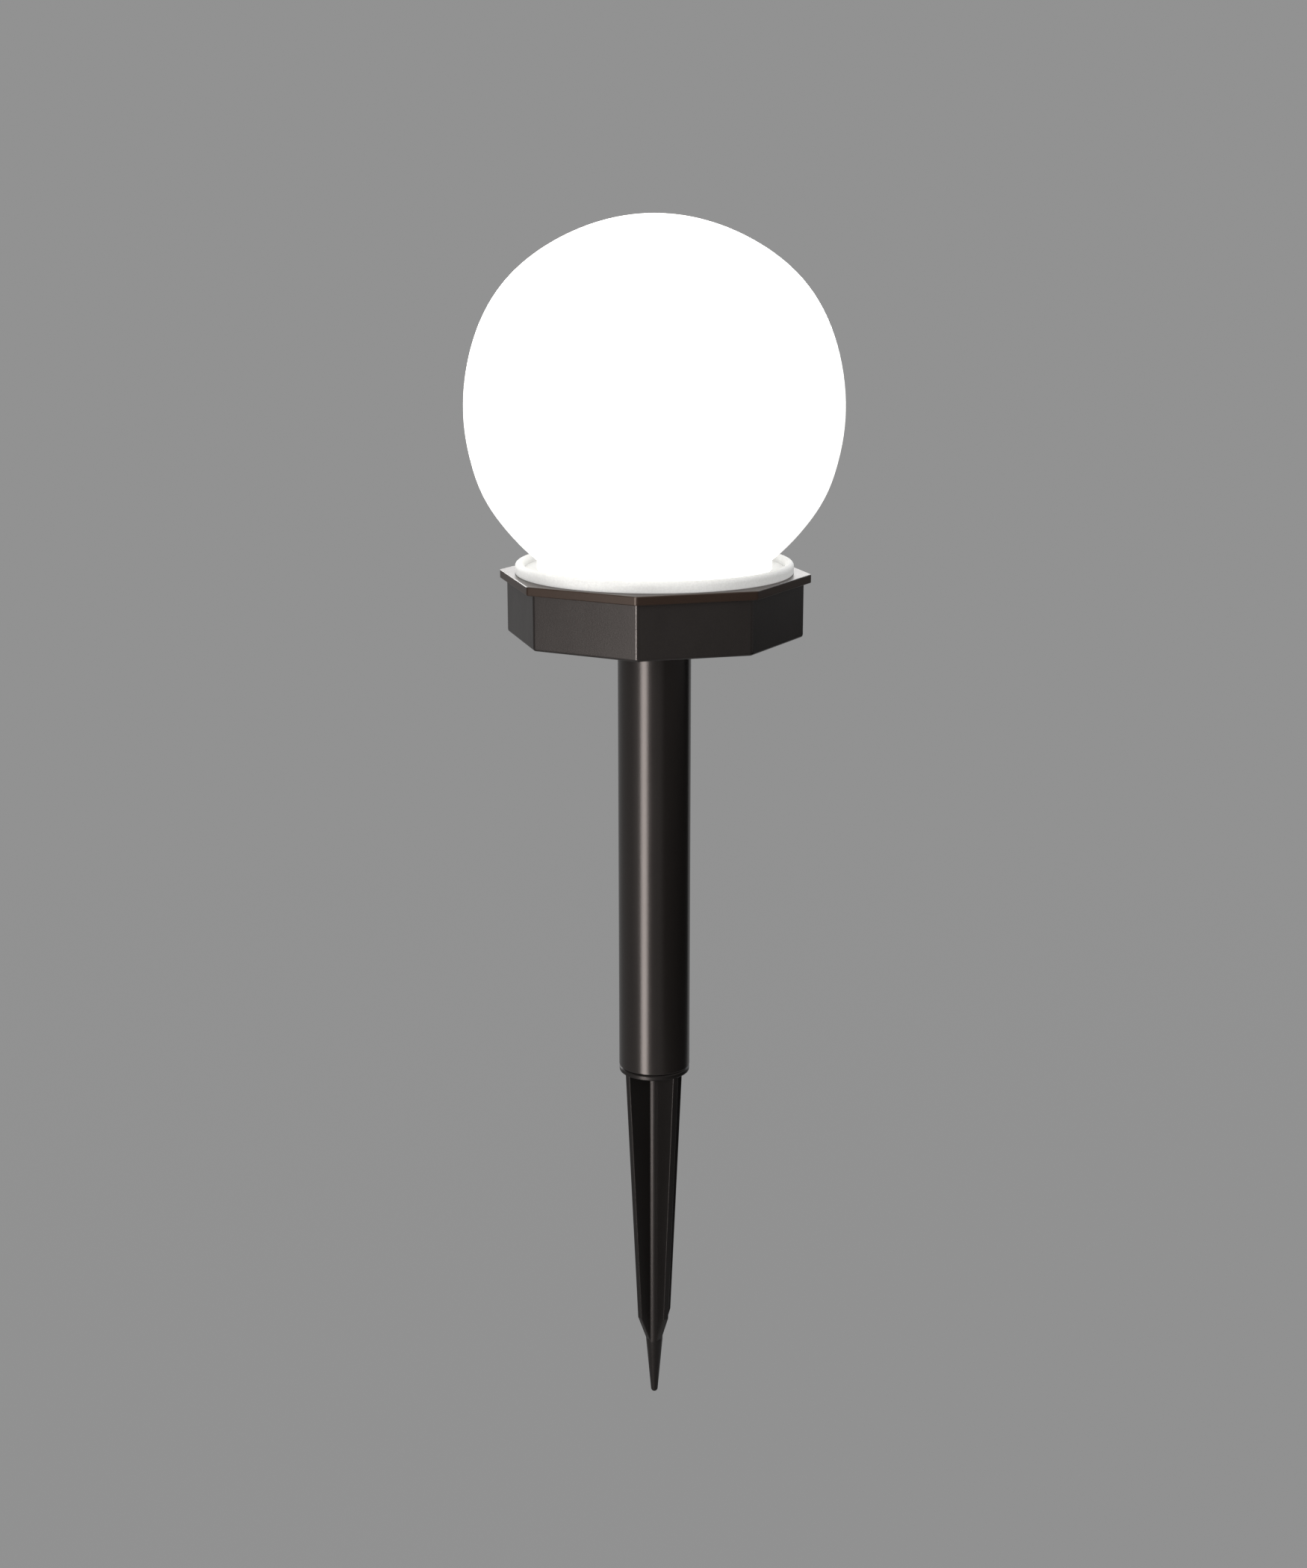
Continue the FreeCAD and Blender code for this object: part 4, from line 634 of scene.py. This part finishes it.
def paint_nodes():
    """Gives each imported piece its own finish, and hands on the nickel for the lamps."""
    zinc = plated_metal("zinc_plate", (0.66, 0.67, 0.68), (0.50, 0.50, 0.47), (0.26, 0.42))
    nickel = plated_metal("nickel_plate", (0.70, 0.67, 0.61), (0.56, 0.53, 0.47), (0.16, 0.30))
    brass = plated_metal("brass_sheet", (0.78, 0.57, 0.25), (0.52, 0.36, 0.15), (0.22, 0.40))
    rubber = small_moulding("seal_rubber_black", (0.012, 0.012, 0.013), (0.034, 0.034, 0.035),
                            (0.62, 0.78), 0.25 * MM, 0.03 * MM)
    black = small_moulding("black_nylon", (0.011, 0.011, 0.012), (0.020, 0.020, 0.021), (0.38, 0.50))
    red = small_moulding("red_insulation_pvc", (0.34, 0.012, 0.010), (0.43, 0.022, 0.016), (0.30, 0.42))
    jet = small_moulding("black_insulation_pvc", (0.009, 0.009, 0.010), (0.016, 0.016, 0.017),
                         (0.30, 0.42))
    finishes = {
        "pole_tube": dark_plastic("pole_satin", BROWN_BLACK, BROWN_BLACK_LIGHT, (0.235, 0.265),
                                  0.35 * MM, 0.004 * MM, edge_highlight_share=0.05),
        "spike": dark_plastic("spike_satin", SPIKE_BLACK, SPIKE_BLACK_LIGHT, (0.33, 0.40),
                              0.45 * MM, 0.01 * MM, ior=1.39),
        "housing_tub": dark_plastic("housing_grained", BROWN_BLACK, BROWN_BLACK_LIGHT, (0.36, 0.42),
                                    0.4 * MM, 0.025 * MM, corners=True),
        "housing_lid": dark_plastic("lid_satin", LID_GLOW_WARMED_BROWN, LID_GLOW_WARMED_BROWN_LIGHT, (0.34, 0.38),
                                    0.4 * MM, 0.004 * MM, sheen=LID_GLOW_WARMED_SHEEN),
        "globe_dish": white_dish_plastic(),
        "globe": lit_globe_plastic(),
        "neck_seal": rubber,
        "lid_gasket": rubber,
        "housing_screws": zinc,
        "dish_screws": zinc,
        "led_board_screws": zinc,
        "control_board_screws": zinc,
        "switch_screws": zinc,
        "switch_case": zinc,
        "switch_terminals": brass,
        "contact_spring_plate": nickel,
        "contact_button_plate": nickel,
        "switch_base": black,
        "switch_slider": black,
        "battery_holder": black,
        "red_leads": red,
        "black_leads": jet,
        "solar_backing": green_board("panel_backing_green", "solar_backing", 2.4 * MM),
        "led_board": green_board("lamp_board_green", "led_board", 2.0 * MM),
        "control_board": green_board("control_board_green", "control_board", 1.27 * MM),
        "solar_cells": blue_solar_cell(),
        "solar_cover": clear_plastic("clear_panel_resin", (0.97, 0.98, 0.96), (0.03, 0.08),
                                     0.02 * MM),
        "leds": clear_plastic("clear_lamp_resin", (0.98, 0.97, 0.93), (0.05, 0.12), 0.01 * MM),
        "battery": battery_sleeve(),
        "holder_tape": white_foam(),
        "storage_coil": ringed_coil(),
        "buffer_capacitor": sleeved_capacitor(),
        "control_chip": chip_epoxy(),
    }
    for name, finish in finishes.items():
        nodes[name].material_slots[0].material = finish
    return nickel


# ---------------------------------------------------------------- small pieces inside the light

def alone(piece=None):
    """Deselects all but one piece."""
    bpy.ops.object.select_all(action="DESELECT")
    if piece:
        piece.select_set(True)
        bpy.context.view_layer.objects.active = piece


def edit(piece):
    alone(piece)
    bpy.ops.object.mode_set(mode="EDIT")
    bpy.ops.mesh.select_mode(type="FACE")


def close_edit():
    """Merges doubles, turns the faces outwards and leaves edit mode."""
    bpy.ops.mesh.select_all(action="SELECT")
    bpy.ops.mesh.remove_doubles(threshold=0.001 * MM)
    bpy.ops.mesh.normals_make_consistent(inside=False)
    bpy.ops.object.mode_set(mode="OBJECT")


def settle(piece):
    """Takes a piece's place and turn into its mesh."""
    alone(piece)
    bpy.ops.object.transform_apply(location=True, rotation=True, scale=True)


def draw_up(rise, share):
    """Extrudes the selected face upwards and makes its end wider or narrower."""
    bpy.ops.mesh.extrude_region_move(TRANSFORM_OT_translate={"value": (0, 0, rise)})
    bpy.ops.transform.resize(value=(share, share, 1.0), center_override=(0, 0, 0))


def drawn_disc(segments, radius, height, steps):
    """Disc drawn up in steps, each a rise in millimetres and a change of width, left in edit mode."""
    bpy.ops.mesh.primitive_circle_add(vertices=segments, radius=radius, fill_type="NGON",
                                      location=(0, 0, height))
    piece = bpy.context.object
    edit(piece)
    for rise, share in steps:
        draw_up(rise * MM, share)
    return piece


def finish_with(piece, kind, **settings):
    """Adds a modifier and applies it."""
    alone(piece)
    modifier = piece.modifiers.new(kind.lower(), kind)
    for name, value in settings.items():
        setattr(modifier, name, value)
    bpy.ops.object.modifier_apply(modifier=modifier.name)


def smooth(piece, degrees=35):
    alone(piece)
    bpy.ops.object.shade_smooth_by_angle(angle=math.radians(degrees))


def lay_out(pattern, name, finish, places):
    """Copies a pattern to places, each a point, a turn about Z and whether it hangs upside down."""
    copies = []
    for point, turn, upside_down in places:
        alone(pattern)
        bpy.ops.object.duplicate()
        copy = bpy.context.object
        copy.location = point
        copy.rotation_euler = (math.pi if upside_down else 0.0, 0.0, math.radians(turn))
        copies.append(copy)
    bpy.data.objects.remove(pattern)
    alone(copies[0])
    for copy in copies:
        copy.select_set(True)
    if len(copies) > 1:
        bpy.ops.object.join()
    piece = bpy.context.object
    settle(piece)
    piece.name = name
    piece.data.name = name
    piece.data.materials.clear()
    piece.data.materials.append(finish)
    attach(piece, "head")
    return piece


def standing(points):
    return [(point, 0, False) for point in points]


def hanging(points):
    return [(point, 0, True) for point in points]


def solder_cone():
    """Solder drawn up a wire from a round pad: a hollow-sided cone."""
    pad_radius = 0.95 * MM
    steps = ((0.06, 0.96), (0.10, 0.86), (0.16, 0.84), (0.22, 0.86), (0.20, 0.92))
    cone = drawn_disc(SOLDER_SEGMENTS, pad_radius, 0.0, steps)
    close_edit()
    smooth(cone, 50)
    return cone


def solder_drop():
    """Solder that has drawn round a wire's end where it meets a pin or a tab."""
    foot_radius, foot_level = 0.5 * MM, -0.75 * MM
    steps = ((0.18, 1.35), (0.3, 1.16), (0.35, 1.0), (0.3, 0.88), (0.25, 0.85), (0.15, 0.9))
    drop = drawn_disc(SOLDER_SEGMENTS, foot_radius, foot_level, steps)
    close_edit()
    settle(drop)
    smooth(drop, 50)
    return drop


def lamp_directions():
    """Each lamp's turn in degrees, its direction from the axis and the direction across it."""
    for number in range(LAMP_COUNT):
        turn = 360 / LAMP_COUNT * number
        angle = math.radians(turn)
        outward = Vector((math.cos(angle), math.sin(angle), 0))
        yield turn, outward, Vector((-outward.y, outward.x, 0))


def add_solder(finish):
    """Joints where leads and legs meet the boards, the switch's pins and the contacts' tabs."""
    low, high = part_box("control_board")
    half_pair = LEAD_SPACING / 2
    board_points = []
    for side in (-1, 1):
        board_points.append(Vector((side * half_pair, high.y - PAD_INSET, high.z)))
        board_points.append(Vector((side * half_pair, low.y + LAMP_PAD_INSET, high.z)))
        board_points.append(Vector((side * SWITCH_PAD_OFFSET, low.y + PAD_INSET, high.z)))
        board_points.append(Vector((side * (high.x - BATTERY_PAD_INSET), high.y - PAD_INSET, high.z)))
    lay_out(solder_cone(), "board_solder", finish, standing(board_points))

    board_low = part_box("led_board")[0].z
    lamp_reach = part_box("leds")[1].x - LAMP_FLANGE_RADIUS
    leg_points = []
    for turn, outward, sideways in lamp_directions():
        middle = outward * lamp_reach + Vector((0, 0, board_low))
        leg_points += [middle + sideways * (side * LAMP_LEG_SPACING / 2) for side in (-1, 1)]
    leg_points += [Vector((side * half_pair, LAMP_LEAD_Y, board_low)) for side in (-1, 1)]
    lay_out(solder_cone(), "lamp_leg_solder", finish, hanging(leg_points))

    pins_low, pins_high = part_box("switch_terminals")
    pin_reach = pins_high.x - SWITCH_PIN_WIDTH / 2
    pin_middle = (pins_low.y + pins_high.y) / 2
    drop_points = [Vector((side * pin_reach, pin_middle, pins_high.z)) for side in (-1, 1)]
    for name in ("contact_spring_plate", "contact_button_plate"):
        tab_low, tab_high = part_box(name)
        side = math.copysign(1, tab_low.x)
        outer = max(abs(tab_low.x), abs(tab_high.x))
        lead_x = side * (outer - CONTACT_LEAD_INSET)
        lead_y = (tab_low.y + tab_high.y) / 2
        drop_points.append(Vector((lead_x, lead_y, tab_high.z - CONTACT_LEAD_DROP)))
    lay_out(solder_drop(), "lead_end_solder", finish, standing(drop_points))

    panel_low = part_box("solar_backing")[0].z
    panel_points = [Vector((side * half_pair, PANEL_LEAD_Y, panel_low)) for side in (-1, 1)]
    lay_out(solder_cone(), "panel_solder", finish, hanging(panel_points))


def chip_leg():
    """Gull-wing leg of a chip, from its flank down to the board, pointing along +Y."""
    width, shoulder, thickness, edge_radius = 0.4 * MM, 0.8 * MM, 0.12 * MM, 0.03 * MM
    down_the_flank, along_the_board = (0, 0.22 * MM, -0.68 * MM), (0, 0.42 * MM, 0)
    end_margin = 0.01 * MM
    bpy.ops.mesh.primitive_plane_add(size=width, location=(0, 0, shoulder))
    leg = bpy.context.object
    edit(leg)
    bpy.ops.mesh.select_mode(type="EDGE")
    for step in (down_the_flank, along_the_board):
        bpy.ops.mesh.select_all(action="DESELECT")
        bpy.ops.object.mode_set(mode="OBJECT")
        reach = max(vertex.co.y for vertex in leg.data.vertices)
        for edge in leg.data.edges:
            ends = [leg.data.vertices[number].co.y for number in edge.vertices]
            edge.select = min(ends) > reach - end_margin
        bpy.ops.object.mode_set(mode="EDIT")
        bpy.ops.mesh.extrude_edges_move(TRANSFORM_OT_translate={"value": step})
    close_edit()
    settle(leg)
    finish_with(leg, "SOLIDIFY", thickness=thickness, offset=0.0)
    finish_with(leg, "BEVEL", width=edge_radius, segments=2)
    return leg


def add_chip_legs(finish):
    low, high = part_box("control_chip")
    middle = (low + high) / 2
    places = []
    for number in range(PINS_PER_SIDE):
        x = middle.x + (number - (PINS_PER_SIDE - 1) / 2) * PIN_PITCH
        places.append((Vector((x, high.y, low.z)), 0, False))
        places.append((Vector((x, low.y, low.z)), 180, False))
    lay_out(chip_leg(), "chip_legs", finish, places)


def small_block(size, bevel):
    """Block with rounded edges that stands on its underside."""
    bpy.ops.mesh.primitive_cube_add(size=1.0, location=(0, 0, 0))
    piece = bpy.context.object
    edit(piece)
    bpy.ops.mesh.select_all(action="SELECT")
    bpy.ops.transform.resize(value=size, center_override=(0, 0, 0))
    bpy.ops.transform.translate(value=(0, 0, size[2] / 2))
    bpy.ops.mesh.bevel(offset=bevel, segments=2, affect="EDGES")
    close_edit()
    smooth(piece)
    return piece


def add_surface_parts(finish):
    """Resistors on the control board: a dark body and a tinned cap at each end."""
    low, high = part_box("control_board")
    middle = (low + high) / 2
    spots = ((-8.2, -1.8), (-8.2, -4.6), (4.6, -3.8), (12.2, 4.6), (7.4, 4.2), (11.8, -5.6))
    length, width, height, cap = 2.0 * MM, 1.25 * MM, 0.5 * MM, 0.38 * MM
    body_width, body_height = 0.96 * width, 0.92 * height
    body_edge, cap_edge = 0.03 * MM, 0.06 * MM
    body_places = []
    cap_places = []
    for x, y in spots:
        spot = Vector((middle.x + x * MM, middle.y + y * MM, high.z))
        body_places.append((spot, 0, False))
        for side in (-1, 1):
            cap_places.append((spot + Vector((side * (length - cap) / 2, 0, 0)), 0, False))
    dark = small_moulding("resistor_glaze", (0.012, 0.012, 0.013), (0.022, 0.022, 0.024), (0.25, 0.35))
    body = small_block((length - 2 * cap, body_width, body_height), body_edge)
    lay_out(body, "resistor_bodies", dark, body_places)
    ends = small_block((cap, width, height), cap_edge)
    lay_out(ends, "resistor_caps", finish, cap_places)


def bent_wire(radius, out, bend, down):
    """Round wire that leaves along +X, turns down through a bend and ends on the board."""
    bpy.ops.mesh.primitive_circle_add(vertices=12, radius=radius, fill_type="NGON", location=(0, 0, 0))
    wire = bpy.context.object
    edit(wire)
    bpy.ops.mesh.select_all(action="SELECT")
    bpy.ops.transform.rotate(value=math.pi / 2, orient_axis="Y", center_override=(0, 0, 0))
    bpy.ops.mesh.extrude_region_move(TRANSFORM_OT_translate={"value": (out, 0, 0)})
    bpy.ops.mesh.spin(steps=6, angle=math.pi / 2, center=(out, 0, -bend), axis=(0, 1, 0))
    bpy.ops.mesh.extrude_region_move(TRANSFORM_OT_translate={"value": (0, 0, -down)})
    close_edit()
    smooth(wire, 40)
    return wire


def add_coil_legs(finish):
    low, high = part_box("storage_coil")
    middle = (low + high) / 2
    board_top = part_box("control_board")[1].z
    wire_radius, straight, bend = 0.28 * MM, 0.5 * MM, 0.5 * MM
    drop = middle.z - board_top - bend
    wire = bent_wire(wire_radius, straight, bend, drop)
    places = [(Vector((high.x, middle.y, middle.z)), 0, False),
              (Vector((low.x, middle.y, middle.z)), 180, False)]
    lay_out(wire, "coil_legs", finish, places)


def reflector_cup():
    """Flared cup that holds a lamp's chip, with a flat rim and a tapered well."""
    foot_radius, rim, well_depth, well_taper = 0.55 * MM, 0.12 * MM, 0.55 * MM, 0.55
    flare = (0.9, 1.75)
    cup = drawn_disc(24, foot_radius, 0.0, (flare,))
    bpy.ops.mesh.inset(thickness=rim)
    draw_up(-well_depth, well_taper)
    close_edit()
    smooth(cup, 30)
    return cup


def phosphor_drop():
    """Low dome of phosphor over a lamp's chip."""
    radius, flatness = 0.55 * MM, 0.6
    bpy.ops.mesh.primitive_uv_sphere_add(segments=20, ring_count=10, radius=radius, location=(0, 0, 0))
    drop = bpy.context.object
    edit(drop)
    bpy.ops.mesh.select_all(action="SELECT")
    bpy.ops.transform.resize(value=(1.0, 1.0, flatness), center_override=(0, 0, 0))
    bpy.ops.mesh.bisect(plane_co=(0, 0, 0), plane_no=(0, 0, 1), use_fill=True, clear_inner=True)
    close_edit()
    smooth(drop, 50)
    return drop


def add_lamp_insides(finish):
    """Lead frame, reflector cup and phosphor inside each lamp."""
    low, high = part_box("leds")
    reach = high.x - LAMP_FLANGE_RADIUS
    cup_rise, drop_rise, anvil_aside, edge = 3.6 * MM, 0.36 * MM, 0.45 * MM, 0.06 * MM
    anvil_size = (0.5 * MM, 1.5 * MM, 3.7 * MM)
    post_size = (0.5 * MM, 0.6 * MM, 4.3 * MM)
    foot = Vector((0, 0, low.z))
    cup_foot = Vector((0, 0, low.z + cup_rise))
    drop_foot = Vector((0, 0, low.z + cup_rise + drop_rise))
    posts = []
    anvils = []
    cups = []
    drops = []
    for turn, outward, sideways in lamp_directions():
        middle = outward * reach
        anvils.append((middle - sideways * anvil_aside + foot, turn, False))
        posts.append((middle + sideways * LAMP_LEG_SPACING / 2 + foot, turn, False))
        cups.append((middle + cup_foot, turn, False))
        drops.append((middle + drop_foot, turn, False))
    lay_out(small_block(anvil_size, edge), "lamp_anvils", finish, anvils)
    lay_out(small_block(post_size, edge), "lamp_posts", finish, posts)
    lay_out(reflector_cup(), "lamp_cups", finish, cups)
    lay_out(phosphor_drop(), "lamp_phosphor", lit_phosphor(), drops)


def cell_ribbon():
    """Tinned ribbon with a raised middle, laid across the gap between two cells."""
    length, width, thickness, arch = 0.96 * CELL_SPACE, 1.6 * MM, 0.05 * MM, math.radians(50)
    bpy.ops.mesh.primitive_plane_add(size=1.0, location=(0, 0, 0))
    ribbon = bpy.context.object
    edit(ribbon)
    bpy.ops.mesh.select_all(action="SELECT")
    bpy.ops.transform.resize(value=(length, width, 1.0), center_override=(0, 0, 0))
    bpy.ops.mesh.subdivide(number_cuts=5)
    close_edit()
    finish_with(ribbon, "SIMPLE_DEFORM", deform_method="BEND", deform_axis="Y", angle=arch)
    finish_with(ribbon, "SOLIDIFY", thickness=thickness, offset=0.0)
    smooth(ribbon, 40)
    return ribbon


def add_cell_ribbons(finish):
    low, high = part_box("solar_cells")
    strip = (high.x - low.x + CELL_SPACE) / CELL_COUNT
    rise, shares = 0.12 * MM, (0.25, 0.75)
    places = []
    for number in range(1, CELL_COUNT):
        x = low.x + number * strip - CELL_SPACE / 2
        for share in shares:
            spot = Vector((x, low.y + (high.y - low.y) * share, low.z + rise))
            places.append((spot, 0, False))
    lay_out(cell_ribbon(), "cell_ribbons", finish, places)


# ---------------------------------------------------------------- studio

def around(turn, distance, height):
    """A place round the light, turned to the right of its front."""
    angle = math.radians(turn)
    return Vector((distance * math.sin(angle), -distance * math.cos(angle), height))


def face_axis(thing):
    """Stands a panel upright, with its front towards the light's axis."""
    facing = Vector((-thing.location.x, -thing.location.y, 0))
    thing.rotation_euler = facing.to_track_quat("-Z", "Y").to_euler()


def softbox(name, turn, distance, low, high, width, radiance, tint=(1.0, 1.0, 1.0)):
    """Upright soft light facing the light's axis."""
    lamp = bpy.data.lights.new(name, "AREA")
    lamp.shape = "RECTANGLE"
    lamp.size = width
    lamp.size_y = high - low
    lamp.energy = 4 * radiance * width * (high - low)
    lamp.color = tint
    place = bpy.data.objects.new(name, lamp)
    place.location = around(turn, distance, (low + high) / 2)
    face_axis(place)
    place.visible_camera = False
    bpy.context.scene.collection.objects.link(place)


def grey(level):
    return (level, level, level, 1)


def backdrop_rays(tree):
    """1 for what the camera sees, straight or in a gloss or through a glass."""
    path = add(tree, "ShaderNodeLightPath").outputs
    return either(tree, path["Is Camera Ray"], path["Is Glossy Ray"], path["Is Transmission Ray"])


def pale_grey_floor():
    """Plain floor: nearly flat to the camera, fading into the backdrop, and it keeps the shadow."""
    material = bpy.data.materials.new("pale_grey_floor")
    material.use_nodes = True
    tree = material.node_tree
    tree.nodes.clear()
    flat = add(tree, "ShaderNodeEmission", {"Color": grey(BACKDROP_GREY)})
    cloth = add(tree, "ShaderNodeBsdfDiffuse", {"Color": grey(FLOOR_GREY)})
    reach = add(tree, "ShaderNodeVectorMath", operation="LENGTH")
    feed(tree, object_place(tree), reach.inputs[0])
    share = spread(tree, reach.outputs["Value"], *BACKDROP_SHARE, *BACKDROP_REACH)
    blend = add(tree, "ShaderNodeMixShader")
    feed(tree, both(tree, backdrop_rays(tree), share), blend.inputs[0])
    feed(tree, cloth.outputs[0], blend.inputs[1])
    feed(tree, flat.outputs[0], blend.inputs[2])
    ending = add(tree, "ShaderNodeOutputMaterial")
    feed(tree, blend.outputs[0], ending.inputs["Surface"])
    return material


def add_floor():
    alone()
    level = cad_box[0].z - FLOOR_DROP
    bpy.ops.mesh.primitive_circle_add(vertices=96, radius=FLOOR_RADIUS, fill_type="NGON",
                                      location=(0, 0, level))
    floor = bpy.context.object
    floor.name = "floor"
    floor.data.materials.append(pale_grey_floor())


def matt_black():
    material = bpy.data.materials.new("matt_black_card")
    material.use_nodes = True
    shader = material.node_tree.nodes["Principled BSDF"]
    shader.inputs["Base Color"].default_value = grey(CARD_GREY)
    shader.inputs["Roughness"].default_value = 1.0
    return material


def black_card(name, finish, turn, distance, low, high, width):
    """Upright matt black card that only darkens reflections."""
    alone()
    bpy.ops.mesh.primitive_plane_add(size=1.0, location=around(turn, distance, (low + high) / 2))
    card = bpy.context.object
    card.name = name
    card.scale = (width, high - low, 1.0)
    face_axis(card)
    card.data.materials.append(finish)
    card.visible_camera = False
    card.visible_diffuse = False
    card.visible_shadow = False
    card.visible_transmission = False


def set_world():
    """Backdrop grey to the camera and a low even light from all round."""
    world = bpy.data.worlds.new("studio")
    bpy.context.scene.world = world
    world.use_nodes = True
    tree = world.node_tree
    tree.nodes.clear()
    backdrop = add(tree, "ShaderNodeBackground", {"Color": grey(BACKDROP_GREY), "Strength": 1.0})
    room = add(tree, "ShaderNodeBackground", {"Color": ROOM_TINT, "Strength": ROOM_LIGHT})
    blend = add(tree, "ShaderNodeMixShader")
    feed(tree, backdrop_rays(tree), blend.inputs[0])
    feed(tree, room.outputs[0], blend.inputs[1])
    feed(tree, backdrop.outputs[0], blend.inputs[2])
    ending = add(tree, "ShaderNodeOutputWorld")
    feed(tree, blend.outputs[0], ending.inputs["Surface"])


def set_camera():
    lens = bpy.data.cameras.new("camera")
    lens.lens = LENS
    lens.sensor_width = SENSOR
    lens.clip_start = NEAREST_SEEN
    camera = bpy.data.objects.new("camera", lens)
    camera.location = around(math.degrees(CAMERA_TURN), CAMERA_DISTANCE, CAMERA_HEIGHT)
    pixels_per_slope = LENS / SENSOR * IMAGE_HEIGHT
    aside = math.atan((AXIS_COLUMN - IMAGE_WIDTH / 2) / pixels_per_slope)
    camera.rotation_euler = (math.pi / 2 - CAMERA_TILT, 0, CAMERA_TURN + aside)
    bpy.context.scene.collection.objects.link(camera)
    bpy.context.scene.camera = camera


set_camera()
set_world()
add_floor()
softbox("key", turn=-26, distance=0.46, low=-0.29, high=0.26, width=0.16, radiance=7.6, tint=KEY_TINT)
softbox("front_soft", turn=-6, distance=0.9, low=0.24, high=0.85, width=0.6, radiance=2.3)
softbox("right_soft", turn=65, distance=0.9, low=0.42, high=1.0, width=1.0, radiance=0.95)
softbox("front_left", turn=-51, distance=0.8, low=-0.25, high=0.25, width=0.35, radiance=0.12)
softbox("back_left", turn=-160, distance=1.6, low=0.25, high=1.2, width=1.9, radiance=2.45)
softbox("edge_left", turn=-146, distance=1.2, low=0.25, high=0.55, width=0.22, radiance=5.2)
softbox("back_right", turn=158, distance=1.6, low=0.25, high=1.2, width=0.9, radiance=1.2, tint=COOL_TINT)
card_finish = matt_black()
black_card("pole_card", card_finish, turn=88, distance=0.5, low=-0.31, high=0.04, width=1.5)
black_card("corner_card", card_finish, turn=130, distance=0.5, low=0.04, high=0.10, width=0.26)

nickel_plate = paint_nodes()
tin_solder = plated_metal("tin_solder", (0.72, 0.72, 0.73), (0.56, 0.56, 0.57), (0.18, 0.34),
                          0.2 * MM, 0.01 * MM)
add_solder(tin_solder)
add_chip_legs(tin_solder)
add_surface_parts(tin_solder)
add_coil_legs(tin_solder)
add_lamp_insides(nickel_plate)
add_cell_ribbons(tin_solder)

bpy.context.scene.view_settings.view_transform = "Standard"
